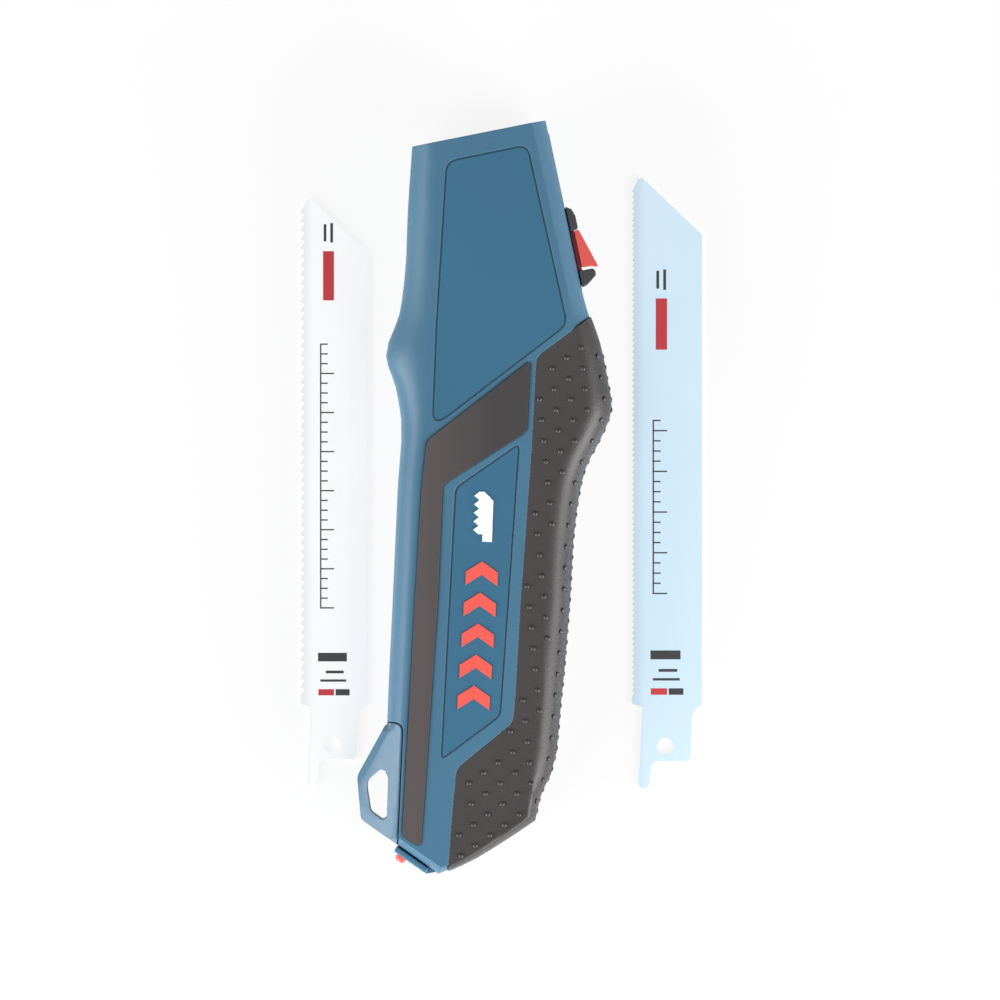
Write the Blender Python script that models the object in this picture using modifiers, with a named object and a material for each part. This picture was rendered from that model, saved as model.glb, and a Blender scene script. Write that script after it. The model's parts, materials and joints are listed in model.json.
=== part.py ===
"""Hand saw handle for sabre saw blades, lying flat on its far flank with two spare blades beside it.

The drawing is in millimetres: X to the spine side, Y towards the blade mouth along the magazine,
Z up from the seam between the two shells.  Meshes are made in metres and set on the floor at the end.
"""

import math

import bmesh
import bpy
import numpy as np
from mathutils import Vector

for item in list(bpy.data.objects):
    bpy.data.objects.remove(item, do_unlink=True)

MM = 0.001

# Fits
FIT = 0.3            # gap between pieces that touch
CLOSE_FIT = 0.15     # gap round a pin or a screw
SEAM = 0.1           # half of the gap between the two shells

# Handle form
BODY_HALF = 15.0     # seam to flank
EDGE_FALL = 8.0      # height of the soft edge, flank to side wall
WALL = 2.3           # shell wall
PAD_PROUD = 0.3      # grip and inlay stand this far out of the shell
PAD_SINK = 0.8       # and reach this far into it
GROOVE_WIDE = 0.45   # panel lines on the flanks
GROOVE_DEEP = 0.5

# Clamp datum, the middle of the blade mouth, and the lean of the blade axis and the spine
MOUTH = (-6.3, 89.8)
AXIS_LEAN = 14.0
SHANK_HALF = 6.6     # half width of a blade's shank
POCKET_HALF = SHANK_HALF + FIT
BAR_WIDE = 2.3       # bar beside the tang pocket
JAW_HALF = POCKET_HALF + BAR_WIDE
FOOT_GAP = 0.4       # jaws to the slider's foot
FOOT_WIDE = 2.2      # bearing of the fork's arm on the foot
ARM_GAP = 0.5        # fork's arm to the wall
SPINE = JAW_HALF + FOOT_GAP + FOOT_WIDE + ARM_GAP + WALL
SPINE_LONG = 42.0    # straight part of the spine

# Tail end, drawn from the corner beside the hang loop
TAIL = (-22.3, -85.2)
TAIL_LEAN = -33.0
TAIL_LONG = 12.4

# Loose blades
BLADE_LONG = 150.0
TANG_LONG = 20.4     # shoulder to the end of the tang
BLADE_WIDE = 17.2
BLADE_THICK = 0.9
SHANK_HOLE = 2.05    # radius
HOLE_BACK = 10.0     # shoulder to the middle of the shank hole
HOLE_SIDE = -0.4     # blade's middle line to the middle of the hole
BLADE_LEAN = 2.0
METAL_SHOULDER = (42.8, -49.0)
METAL_PITCH = 1.41
METAL_SIZE = 1.0
WOOD_SHOULDER = (-39.0, -51.9)
WOOD_PITCH = 2.2
WOOD_SIZE = 0.96

# Magazine for spare blades
STORE_LEFT = -21.2
STORE_WIDE = 8.2
STORE_HALF = 10.4    # half height across the flanks
STORE_WALL = 0.8
STORE_TOP = 65.0

# Tail door, measured along the tail end (s) and out of it (n)
DOOR_THICK = 1.5
DOOR_HALF = 10.8
HINGE_S = 11.6
HINGE_N = -1.6
KNUCKLE = 1.2        # radius
KNUCKLE_HALF = 6.0
ARM_LONG = 3.4       # reach of the door's arm from the hinge
LUG = 1.25           # radius
LUG_LONG = 3.0
HINGE_PIN = 0.6      # radius

# Blade clamp, measured across (x) and along (y, out of the mouth) the blade axis
GUIDE_EDGE = 1.3     # nose wall that stays beside the mouth guide
GUIDE_HALF = SPINE - WALL - GUIDE_EDGE
GUIDE_HIGH = 4.0     # half height
GUIDE_FRONT = 0.5    # set back from the nose
GUIDE_DEEP = 3.4
GUIDE_LIP = 0.9      # the flange behind the nose is this much longer
LIP_THICK = 1.8
SLOT_HALF = 0.5 * BLADE_WIDE + 0.5
SLOT_OPEN = 1.1
JAW_FRONT = 7.0
JAW_LONG = 24.0
JAW_THICK = 2.5
SHIM_HALF = 0.65     # half thickness of the tang pocket
POCKET_DEEP = 21.4
RIVET = 0.6          # radius
RIVET_LAND = 0.1     # metal left round a sunk rivet head
RIVET_HEAD = 0.5 * BAR_WIDE - RIVET_LAND - CLOSE_FIT
LOCK_PIN = 1.9       # radius
PIN_FLANGE = 3.6     # radius
FLANGE_THICK = 1.4

# Release: the slider runs along the spine and its ramp draws the lock pin
SLIDE_TRAVEL = 7.0
PIN_TRAVEL = 2.4
FORK_TIP = 0.8       # thickness of the prongs
FORK_HALF = 5.4
RAIL_PROUD = 0.15
RAIL_HALF = 4.0
SLIDER_HALF = 6.4
STEM_HALF = 2.0
STEM_BACK = -35.5
STEM_LONG = 6.0
BUTTON_TRAVEL = 0.8

# Shell screws, on the drawing
SCREWS = ((-17.5, 75.5), (3.5, 45.5), (18.2, 24.0), (2.0, -10.0), (1.5, -45.0), (1.0, -73.5))
SCREW_CORE = 1.2     # radius
SCREW_HEAD = 2.5     # radius
SCREW_SINK = 5.5     # depth of the counterbore
POST = 3.5           # radius of the post round each screw

PARTS = bpy.data.collections.new("sabre_blade_hand_saw")
CUTTERS = bpy.data.collections.new("cutters")
bpy.context.scene.collection.children.link(PARTS)
bpy.context.scene.collection.children.link(CUTTERS)


# Drawing helpers

def lean(angle):
    """Unit vector along a direction turned from +X."""
    return np.array((math.cos(math.radians(angle)), math.sin(math.radians(angle))))


def clamp_point(across, along):
    """Drawing point for a place given across and along the blade axis."""
    return np.array(MOUTH) + across * lean(AXIS_LEAN) + along * lean(AXIS_LEAN + 90)


def tail_point(along, out):
    """Drawing point for a place given along the tail end and out of it."""
    return np.array(TAIL) + along * lean(TAIL_LEAN) + out * lean(TAIL_LEAN - 90)


def offset_loop(loop, distance):
    """Anticlockwise loop moved outwards by a distance, with mitred corners."""
    loop = np.asarray(loop, float)
    ahead = np.roll(loop, -1, axis=0) - loop
    ahead /= np.linalg.norm(ahead, axis=1)[:, None]
    behind = np.roll(ahead, 1, axis=0)
    normal = np.stack((ahead[:, 1] + behind[:, 1], -ahead[:, 0] - behind[:, 0]), axis=1)
    normal /= np.linalg.norm(normal, axis=1)[:, None]
    straight = np.stack((ahead[:, 1], -ahead[:, 0]), axis=1)
    mitre = np.clip((normal * straight).sum(axis=1), 0.4, 1.0)
    return loop + normal * (distance / mitre)[:, None]


def smooth_loop(points, corners, steps):
    """Closed line through the points: curved, but sharp at corners and straight between two of them."""
    points = np.asarray(points, float)
    count = len(points)
    chords = np.roll(points, -1, axis=0) - points
    lengths = np.linalg.norm(chords, axis=1)
    headings = chords / lengths[:, None]
    line = []
    for i in range(count):
        j = (i + 1) % count
        if corners[i] and corners[j]:
            line.append(points[i])
            continue
        ends = []
        for k in (i, j):
            before, after = lengths[k - 1], lengths[k]
            turn = (headings[k - 1] * after + headings[k] * before) / (before + after)
            ends.append(headings[i] if corners[k] else turn)
        for step in range(steps):
            t = step / steps
            start = (2 * t**3 - 3 * t**2 + 1) * points[i] + (t**3 - 2 * t**2 + t) * lengths[i] * ends[0]
            finish = (3 * t**2 - 2 * t**3) * points[j] + (t**3 - t**2) * lengths[i] * ends[1]
            line.append(start + finish)
    return np.array(line)


def rounded(points, radius, steps=4):
    """Outline with every corner eased over the given length."""
    points = np.asarray(points, float)
    line = []
    for i, corner in enumerate(points):
        back = points[i - 1] - corner
        ahead = points[(i + 1) % len(points)] - corner
        reach_back = min(radius, 0.45 * np.linalg.norm(back)) / np.linalg.norm(back)
        reach_ahead = min(radius, 0.45 * np.linalg.norm(ahead)) / np.linalg.norm(ahead)
        for step in range(steps + 1):
            t = step / steps
            line.append(corner + back * reach_back * (1 - t) ** 2 + ahead * reach_ahead * t**2)
    return np.array(line)


def circle(centre, radius, sides=20):
    """Outline of a circle."""
    turns = np.arange(sides) * 2 * math.pi / sides
    return np.array(centre) + radius * np.stack((np.cos(turns), np.sin(turns)), axis=1)


def rectangle(left, right, low, high):
    """Outline of a rectangle."""
    return np.array(((left, low), (right, low), (right, high), (left, high)))


# Solid helpers

def finish_mesh(name, mesh, parent, home):
    """Object for a mesh, welded and facing out."""
    work = bmesh.new()
    work.from_mesh(mesh)
    bmesh.ops.remove_doubles(work, verts=work.verts, dist=1e-7)
    bmesh.ops.recalc_face_normals(work, faces=work.faces)
    work.to_mesh(mesh)
    work.free()
    item = bpy.data.objects.new(name, mesh)
    home.objects.link(item)
    item.parent = parent
    if home is CUTTERS:
        item.hide_render = True
        item.display_type = "WIRE"
    return item


def evaluated(item):
    """Mesh of an object with its modifiers done."""
    bpy.context.view_layer.update()
    graph = bpy.context.evaluated_depsgraph_get()
    return bpy.data.meshes.new_from_object(item.evaluated_get(graph))


def plate(name, outlines, low, high, parent=None, home=PARTS, turn="xyz"):
    """Flat outlines, the first round the others, raised between two levels along the last axis of turn."""
    curve = bpy.data.curves.new(name, "CURVE")
    curve.dimensions = "2D"
    curve.fill_mode = "BOTH"
    curve.extrude = 0.5 * (high - low) * MM
    for outline in outlines:
        spline = curve.splines.new("POLY")
        spline.points.add(len(outline) - 1)
        spline.use_cyclic_u = True
        for point, (u, v) in zip(spline.points, outline):
            point.co = (u * MM, v * MM, 0.0, 1.0)
    holder = bpy.data.objects.new(name, curve)
    PARTS.objects.link(holder)
    mesh = evaluated(holder)
    bpy.data.objects.remove(holder, do_unlink=True)
    middle = 0.5 * (high + low) * MM
    for vertex in mesh.vertices:
        place = dict(zip(turn, (vertex.co.x, vertex.co.y, vertex.co.z + middle)))
        vertex.co = (place["x"], place["y"], place["z"])
    return finish_mesh(name, mesh, parent, home)


def box(name, x, y, z, parent=None, home=PARTS):
    """Box between two values on each axis."""
    work = bmesh.new()
    bmesh.ops.create_cube(work, size=1.0)
    for vertex in work.verts:
        shares = [value + 0.5 for value in vertex.co]
        vertex.co = [(low + share * (high - low)) * MM for share, (low, high) in zip(shares, (x, y, z))]
    mesh = bpy.data.meshes.new(name)
    work.to_mesh(mesh)
    work.free()
    return finish_mesh(name, mesh, parent, home)


def turned(name, centre, profile, parent=None, home=PARTS, sides=20):
    """Solid of revolution about Z through a centre, from (radius, height) pairs that end on it."""
    mesh = bpy.data.meshes.new(name)
    points = [(radius * MM, 0.0, height * MM) for radius, height in profile]
    mesh.from_pydata(points, [(i, i + 1) for i in range(len(points) - 1)], [])
    holder = bpy.data.objects.new(name, mesh)
    PARTS.objects.link(holder)
    screw = holder.modifiers.new("turn", "SCREW")
    screw.steps = sides
    screw.render_steps = sides
    screw.use_merge_vertices = True
    screw.merge_threshold = 1e-6
    result = evaluated(holder)
    bpy.data.objects.remove(holder, do_unlink=True)
    for vertex in result.vertices:
        vertex.co.x += centre[0] * MM
        vertex.co.y += centre[1] * MM
    return finish_mesh(name, result, parent, home)


def coil(name, start, end, radius, wire, turns, parent=None):
    """Coil spring between two points."""
    start, end = Vector(start), Vector(end)
    axis = (end - start).normalized()
    side = axis.orthogonal().normalized()
    other = axis.cross(side)
    steps = int(turns * 8)
    curve = bpy.data.curves.new(name, "CURVE")
    curve.dimensions = "3D"
    curve.bevel_depth = wire * MM
    curve.bevel_resolution = 1
    curve.use_fill_caps = True
    spline = curve.splines.new("POLY")
    spline.points.add(steps)
    for step, point in enumerate(spline.points):
        angle = step * 2 * math.pi / 8
        place = start.lerp(end, step / steps) + radius * (math.cos(angle) * side + math.sin(angle) * other)
        point.co = (*(place * MM), 1.0)
    holder = bpy.data.objects.new(name, curve)
    PARTS.objects.link(holder)
    mesh = evaluated(holder)
    bpy.data.objects.remove(holder, do_unlink=True)
    print(name, "least gap between turns", round((end - start).length / turns - 2 * wire, 2), "mm")
    return finish_mesh(name, mesh, parent, PARTS)


def swap_mesh(target, mesh):
    """Give an object its new mesh, in flat triangles."""
    work = bmesh.new()
    work.from_mesh(mesh)
    bmesh.ops.triangulate(work, faces=work.faces)
    work.to_mesh(mesh)
    work.free()
    target.modifiers.clear()
    spent = target.data
    target.data = mesh
    bpy.data.meshes.remove(spent)


def combine(target, tools, operation):
    """Boolean of all the tools on a target, done at once."""
    group = bpy.data.collections.new(operation)
    for tool in tools:
        group.objects.link(tool)
    step = target.modifiers.new(operation, "BOOLEAN")
    step.operation = operation
    step.solver = "EXACT"
    step.operand_type = "COLLECTION"
    step.collection = group
    swap_mesh(target, evaluated(target))
    bpy.data.collections.remove(group)


def copies(name, profile, places, parent, sides):
    """Turned pieces of one shape at several places, sharing a mesh."""
    for number, place in enumerate(places, 1):
        word = f"{name}_{number}"
        if number == 1:
            first = turned(word, (0, 0), profile, parent, PARTS, sides)
            item = first
        else:
            item = bpy.data.objects.new(word, first.data)
            PARTS.objects.link(item)
            item.parent = parent
        item.location = (place[0] * MM, place[1] * MM, 0.0)


def cut(target, *tools):
    combine(target, tools, "DIFFERENCE")


def add(target, *tools):
    """Union, after which the added pieces are gone."""
    combine(target, tools, "UNION")
    for tool in tools:
        bpy.data.objects.remove(tool, do_unlink=True)


def keep(target, tool):
    combine(target, [tool], "INTERSECT")


def soften(target, width, segments=2, angle=40):
    """Bevel on the sharp edges, done at once."""
    step = target.modifiers.new("soften", "BEVEL")
    step.width = width * MM
    step.segments = segments
    step.limit_method = "ANGLE"
    step.angle_limit = math.radians(angle)
    swap_mesh(target, evaluated(target))


def datum(name, place, turn, parent):
    """Empty that carries a group of pieces."""
    item = bpy.data.objects.new(name, None)
    PARTS.objects.link(item)
    item.empty_display_size = 0.01
    item.parent = parent
    item.location = [value * MM for value in place]
    item.rotation_euler = (0.0, 0.0, math.radians(turn))
    return item


FLOOR_LIFT = BODY_HALF + PAD_PROUD
HANDLE = datum("handle", (0, 0, FLOOR_LIFT), 0, None)
CLAMP = datum("clamp_datum", (*MOUTH, 0), AXIS_LEAN, HANDLE)
SLIDE = datum("slider_carriage", (SPINE, 0, 0), 0, CLAMP)
hinge = tail_point(HINGE_S, HINGE_N)
DOOR = datum("door_hinge_axis", (*hinge, 0), TAIL_LEAN, HANDLE)


# Handle form: each station is a point of the outline at the seam, the point of the flank inside it,
# and whether the outline is sharp there

MOUTH_LEFT = (-24.5, 85.6)
STATIONS = (
    (MOUTH_LEFT, (-17.8, 87.1), True),
    ((-25.0, 70.0), (-17.4, 70.0), False),
    ((-25.2, 54.0), (-17.4, 54.0), False),
    ((-26.2, 44.5), (-17.6, 44.5), False),
    ((-29.1, 34.2), (-17.9, 34.5), False),
    ((-26.6, 27.0), (-18.1, 26.0), False),
    ((-24.9, 19.0), (-18.5, 18.0), False),
    ((-25.1, 3.0), (-19.4, 3.0), False),
    ((-25.4, -26.0), (-20.1, -26.0), False),
    ((-25.7, -55.0), (-20.8, -55.0), False),
    ((-25.4, -83.1), (-21.5, -83.6), True),
    (tail_point(TAIL_LONG, 0), tail_point(TAIL_LONG - 0.3, -1.8), True),
    ((-6.9, -89.7), (-6.8, -88.1), False),
    ((4.5, -82.5), (3.0, -81.2), False),
    ((11.0, -77.8), (8.6, -76.6), True),
    ((12.4, -71.0), (8.9, -71.0), False),
    ((14.4, -66.5), (9.1, -66.0), False),
    ((16.2, -50.0), (9.9, -50.0), False),
    ((17.6, -24.0), (11.0, -24.0), False),
    ((18.5, -1.5), (11.8, -1.0), False),
    ((20.3, 8.6), (13.6, 8.2), False),
    ((24.4, 17.5), (17.0, 17.0), False),
    ((26.1, 23.0), (18.8, 23.0), False),
    ((24.9, 30.3), (18.4, 31.0), False),
    ((22.7, 39.3), (17.0, 40.0), False),
    (clamp_point(SPINE + 0.35, -48.0), clamp_point(SPINE - 4.9, -48.0), False),
    (clamp_point(SPINE, -SPINE_LONG), clamp_point(SPINE - 4.8, -SPINE_LONG), False),
    (clamp_point(SPINE, -SPINE_LONG + 5), clamp_point(SPINE - 4.8, -SPINE_LONG + 5), False),
    (clamp_point(SPINE, -0.2), clamp_point(SPINE - 4.8, -0.1), True),
)
SHARP = [station[2] for station in STATIONS]
SILHOUETTE = smooth_loop([station[0] for station in STATIONS], SHARP, 3)
FLANK = smooth_loop([station[1] for station in STATIONS], SHARP, 3)


def form(name, grow, side, seam, home=CUTTERS, edge_steps=5):
    """Handle form grown by a distance: one side of the seam (1 or -1), or both (0)."""
    outer = offset_loop(SILHOUETTE, grow)
    inner = offset_loop(FLANK, grow)
    top = BODY_HALF + grow
    rings = [(0.0, seam)]
    for step in range(edge_steps + 1):
        angle = 0.5 * math.pi * step / edge_steps
        rings.append((1 - math.cos(angle), top - EDGE_FALL * (1 - math.sin(angle))))
    if side < 0:
        rings = [(share, -height) for share, height in rings]
    if side == 0:
        rings = [(share, -height) for share, height in reversed(rings[1:])] + rings[1:]
    count = len(outer)
    work = bmesh.new()
    loops = []
    for share, height in rings:
        line = outer + (inner - outer) * share
        loops.append([work.verts.new((x * MM, y * MM, height * MM)) for x, y in line])
    for low, high in zip(loops, loops[1:]):
        for i in range(count):
            j = (i + 1) % count
            work.faces.new((low[i], low[j], high[j], high[i]))
    work.faces.new(loops[0])
    work.faces.new(loops[-1])
    mesh = bpy.data.meshes.new(name)
    work.to_mesh(mesh)
    work.free()
    return finish_mesh(name, mesh, HANDLE, home)


# Regions of the flank, all drawn anticlockwise

GRIP_EDGE = (
    (45.0, 65.2), (19.8, 44.8), (7.8, 35.1), (7.4, 12.5), (6.7, -6.0), (6.0, -26.0), (5.5, -49.0),
    (5.1, -54.4), (-8.2, -66.0), (-8.9, -77.0), (-9.4, -90.0), (-9.6, -104.0), (45.0, -104.0),
)
INLAY_EDGE = (
    (6.2, 34.2), (-18.3, 13.8), (-19.1, 3.0), (-19.8, -26.0), (-20.4, -55.0), (-20.9, -82.9),
    (-16.5, -85.3), (-16.0, -74.0), (-15.2, -49.6), (-14.4, -25.0), (-14.2, 3.2), (5.9, 17.0),
)
HEAD_PANEL = ((-15.9, 82.2), (-17.0, 42.0), (-17.1, 19.0), (-14.9, 19.0), (14.9, 43.5), (3.6, 86.9))
LABEL_PANEL = ((-10.9, 2.6), (-12.1, -63.8), (1.9, -52.6), (4.2, 13.9))
grip_region = rounded(GRIP_EDGE, 1.6)
inlay_region = rounded(INLAY_EDGE, 1.2)

hollow = form("hollow", -WALL, 0, 0.0, CUTTERS, 3)
pad_floor = form("pad_floor", -PAD_SINK, 0, 0.0, CUTTERS, 3)
grip_bed = plate("grip_bed", [offset_loop(grip_region, CLOSE_FIT)], -25, 25, HANDLE, CUTTERS)
inlay_bed = plate("inlay_bed", [offset_loop(inlay_region, CLOSE_FIT)], -25, 25, HANDLE, CUTTERS)
bed_floor = form("bed_floor", -PAD_SINK - CLOSE_FIT, 0, 0.0, CUTTERS, 3)
cut(grip_bed, bed_floor)
cut(inlay_bed, bed_floor)

# Rubber grip and dark inlay, one of each to a shell

grips = {}
for side, word in ((1, "near"), (-1, "far")):
    grip = form(word + "_grip", PAD_PROUD, side, SEAM, PARTS)
    grips[word] = grip
    grip_area = plate(word + "_grip_area", [grip_region], -25, 25, HANDLE, CUTTERS)
    keep(grip, grip_area)
    cut(grip, pad_floor)
    inlay = form(word + "_inlay", PAD_PROUD, side, SEAM, PARTS)
    inlay_area = plate(word + "_inlay_area", [inlay_region], -25, 25, HANDLE, CUTTERS)
    keep(inlay, inlay_area)
    cut(inlay, pad_floor)

# Hang loop: a root flush with the shells, a tongue between them and a wedge with the eye beside them

LOOP_THIN = 4.2      # half thickness at the far edge
LOOP_THICK = 11.0    # half thickness inside the root
TONGUE_HALF = 6.0
TONGUE = 1.2         # reach of the tongue behind the joint line
LOOP_ROOT = ((-40.0, -55.4), (-40.0, -95.0), (-22.3, -95.0), (-21.9, -55.4))
LOOP_RIM = (
    (-23.6, -55.9), (-26.0, -55.7), (-32.6, -68.7), (-32.3, -71.3), (-31.3, -79.2), (-23.2, -84.4),
    (-23.0, -57.0),
)
LOOP_EYE = (
    (-26.8, -66.7), (-29.8, -69.5), (-30.0, -71.2), (-28.9, -77.1), (-25.9, -79.2), (-23.9, -77.6),
    (-23.9, -68.0),
)
root_region = rounded(LOOP_ROOT, 2.2)
hang_loop = form("hang_loop", 0.0, 0, 0.0, PARTS)
root_area = plate("root_area", [root_region], -25, 25, HANDLE, CUTTERS)
tongue_area = plate(
    "tongue_area", [offset_loop(root_region, TONGUE)], -TONGUE_HALF, TONGUE_HALF, HANDLE, CUTTERS,
)
tongue = form("tongue", 0.0, 0, 0.0, PARTS)
keep(tongue, tongue_area)
store_side = box("store_side", (STORE_LEFT - FIT, 0.0), (-100.0, 0.0), (-25.0, 25.0), HANDLE, CUTTERS)
cut(tongue, store_side)
keep(hang_loop, root_area)
cut(hang_loop, store_side)
eye_plate = plate(
    "eye_plate", [rounded(LOOP_RIM, 0.9), rounded(LOOP_EYE, 0.7)], -LOOP_THICK, LOOP_THICK, HANDLE,
)
wedge = plate(
    "wedge", [((-34.0, -LOOP_THIN), (-21.0, -LOOP_THICK), (-21.0, LOOP_THICK), (-34.0, LOOP_THIN))],
    -100, -50, HANDLE, CUTTERS, "xzy",
)
keep(eye_plate, wedge)
soften(eye_plate, 0.7, 2, 60)
add(hang_loop, eye_plate, tongue)
EYE_SIDE = ((-26.6, -67.7), (-26.6, -78.6), (-25.5, -78.9), (-24.95, -78.3), (-24.95, -69.0), (-25.3, -67.9))
eye_side = plate("eye_side", [EYE_SIDE], -25, 25, HANDLE, CUTTERS)
cut(hang_loop, eye_side)
loop_bed = plate("loop_bed", [offset_loop(root_region, FIT)], -25, 25, HANDLE, CUTTERS)
tongue_bed = plate(
    "tongue_bed", [offset_loop(root_region, TONGUE + FIT)], -TONGUE_HALF - FIT, TONGUE_HALF + FIT, HANDLE,
    CUTTERS,
)

# Spaces for the pieces inside

store_right = STORE_LEFT + STORE_WIDE
loop_step = LOOP_ROOT[0][1] - 1.0
store_bed = plate(
    "store_bed", [((STORE_LEFT - FIT, STORE_TOP + FIT), (STORE_LEFT - FIT, loop_step), (-24.0, loop_step),
                   (-24.0, -100), (store_right + FIT, -100), (store_right + FIT, STORE_TOP + FIT))],
    -STORE_HALF - FIT, STORE_HALF + FIT, HANDLE, CUTTERS,
)
guide_outline = rectangle(-GUIDE_HIGH, GUIDE_HIGH, -GUIDE_HALF, GUIDE_HALF)
mouth_bed = plate(
    "mouth_bed", [rounded(offset_loop(guide_outline, FIT), 1.5)], -WALL - 2.2, 4.0, CLAMP, CUTTERS, "zxy",
)
RAIL_IN = SPINE - WALL + 0.2
RAIL_ENDS = (-SPINE_LONG - 1.0, -3.2)
rail_bed = box(
    "rail_bed", (RAIL_IN - FIT, SPINE + 4), (RAIL_ENDS[0] - FIT, RAIL_ENDS[1] + FIT),
    (-RAIL_HALF - FIT, RAIL_HALF + FIT), CLAMP, CUTTERS,
)
slot_in = HINGE_N - KNUCKLE - FIT
slot_left = HINGE_S - ARM_LONG - FIT
knuckle_bed = plate(
    "knuckle_bed", [(tail_point(slot_left, slot_in), tail_point(slot_left, 5), tail_point(TAIL_LONG + 3, 5),
                     tail_point(TAIL_LONG + 3, slot_in))],
    -KNUCKLE_HALF - FIT, KNUCKLE_HALF + FIT, HANDLE, CUTTERS,
)
LUG_END = KNUCKLE_HALF + 2 * FIT + LUG_LONG
hinge_bore = turned(
    "hinge_bore", hinge, ((0, -LUG_END - 1), (HINGE_PIN + CLOSE_FIT, -LUG_END - 1),
                          (HINGE_PIN + CLOSE_FIT, LUG_END + 1), (0, LUG_END + 1)),
    HANDLE, CUTTERS, 12,
)

# Shells, each with ribs, screw posts, jaw rests and hinge lugs

jaw_low = SHIM_HALF + 0.1
jaw_high = jaw_low + JAW_THICK
inside = BODY_HALF - WALL + 0.6
RIBS = (-48.0, -12.0, 24.0, 60.0)
rib_limit = form("rib_limit", -0.5 * WALL, 0, 0.0, CUTTERS, 3)

for side, word in ((1, "near"), (-1, "far")):
    shell = form(word + "_shell", 0.0, side, SEAM, PARTS)
    cut(shell, hollow)

    def span(low, high):
        """Heights on this side of the seam, in rising order."""
        return (low, high) if side > 0 else (-high, -low)

    rest = span(jaw_high + FIT, inside)
    back = -JAW_FRONT - JAW_LONG
    inner = [
        box("front_rest", (6.0, JAW_HALF), (-JAW_FRONT - 8, -JAW_FRONT - 4.2), rest, CLAMP),
        box("front_rest", (-JAW_HALF, -6.0), (-JAW_FRONT - 8, -JAW_FRONT - 4.2), rest, CLAMP),
        box("back_rest", (-JAW_HALF, -6.0), (back + 4.8, back + 9), rest, CLAMP),
    ]
    for place in RIBS:
        rib = box("rib", (-26.0, -11.0), (place, place + 1.6), span(SEAM, inside), HANDLE)
        keep(rib, rib_limit)
        inner.append(rib)
    if side > 0:
        inner.append(box("spring_stop", (JAW_HALF + FOOT_GAP, SPINE - WALL + 0.3),
                         (-JAW_FRONT - 1.4, -JAW_FRONT), (-1.4, inside), CLAMP))
    post_low, post_high = span(SEAM, inside)
    for place in SCREWS:
        profile = ((0, post_low), (POST, post_low), (POST, post_high), (0, post_high))
        inner.append(turned("post", place, profile, HANDLE, PARTS, 14))
    lug_low, lug_high = span(KNUCKLE_HALF + 2 * FIT, LUG_END)
    profile = ((0, lug_low), (LUG, lug_low), (LUG, lug_high), (0, lug_high))
    inner.append(turned("lug", hinge, profile, HANDLE))
    add(shell, *inner)
    grooves = []
    groove_low, groove_high = span(BODY_HALF - GROOVE_DEEP, BODY_HALF + 2)
    for panel, ease in ((HEAD_PANEL, 2.4), (LABEL_PANEL, 1.5)):
        line = rounded(panel, ease, 3)
        rims = [offset_loop(line, GROOVE_WIDE / 2), offset_loop(line, -GROOVE_WIDE / 2)]
        grooves.append(plate(word + "_groove", rims, groove_low, groove_high, HANDLE, CUTTERS))
    bores = []
    hole = SCREW_CORE + CLOSE_FIT
    for place in SCREWS:
        if side > 0:
            profile = ((0, -1), (hole, -1), (hole, 9.0), (0, 9.0))
        else:
            floor = -BODY_HALF + SCREW_SINK
            wide = SCREW_HEAD + FIT
            profile = ((0, -20), (wide, -20), (wide, floor), (hole, floor), (hole, 1), (0, 1))
        bores.append(turned(word + "_bore", place, profile, HANDLE, CUTTERS, 12))
    cut(shell, grip_bed, inlay_bed, loop_bed, tongue_bed, store_bed, mouth_bed, rail_bed, knuckle_bed,
        hinge_bore, *grooves, *bores)
    if side < 0:
        cut(grips[word], *bores)

# Shell screws

head_top = -BODY_HALF + SCREW_SINK - CLOSE_FIT
screw_profile = (
    (0, head_top - 1.6), (1.6, head_top - 1.6), (SCREW_HEAD, head_top - 0.8), (SCREW_HEAD, head_top),
    (SCREW_CORE, head_top), (SCREW_CORE, 7.6), (0, 8.4),
)
copies("shell_screw", screw_profile, SCREWS, HANDLE, 12)

# Magazine sleeve, open at the tail

sleeve = box(
    "magazine_sleeve", (STORE_LEFT, store_right), (-100, STORE_TOP), (-STORE_HALF, STORE_HALF), HANDLE,
)
store = box(
    "store", (STORE_LEFT + STORE_WALL, store_right - STORE_WALL), (-110, STORE_TOP - STORE_WALL),
    (-STORE_HALF + STORE_WALL, STORE_HALF - STORE_WALL), HANDLE, CUTTERS,
)
tail_side = plate(
    "tail_side", [[tail_point(-30, -0.4), tail_point(-30, 40), tail_point(40, 40), tail_point(40, -0.4)]],
    -25, 25, HANDLE, CUTTERS,
)
cut(sleeve, store, tail_side, knuckle_bed)

# Tail door on its hinge pin, with a finger tab; drawn from the hinge along the tail end

door_in = CLOSE_FIT - HINGE_N
door_out = door_in + DOOR_THICK
door = box("tail_door", (-HINGE_S + 0.3, -1.9), (-door_out, -door_in), (-DOOR_HALF, DOOR_HALF), DOOR)
soften(door, 0.4, 2)
arm = plate(
    "arm", [((-ARM_LONG, -door_in), (-ARM_LONG, -door_out), (-1.6, -door_out), (0.9, -0.7), (0.9, 0.0),
             (-0.9, 0.3))],
    -KNUCKLE_HALF, KNUCKLE_HALF, DOOR,
)
knuckle = turned(
    "knuckle", (0, 0),
    ((0, -KNUCKLE_HALF), (KNUCKLE, -KNUCKLE_HALF), (KNUCKLE, KNUCKLE_HALF), (0, KNUCKLE_HALF)), DOOR,
)
add(arm, knuckle)
add(door, arm)
pin_hole = turned(
    "pin_hole", (0, 0), ((0, -LUG_END - 1), (HINGE_PIN + CLOSE_FIT, -LUG_END - 1),
                         (HINGE_PIN + CLOSE_FIT, LUG_END + 1), (0, LUG_END + 1)), DOOR, CUTTERS, 12,
)
TAB = (-10.2, -7.6)
TAB_HALF = 4.0
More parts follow.
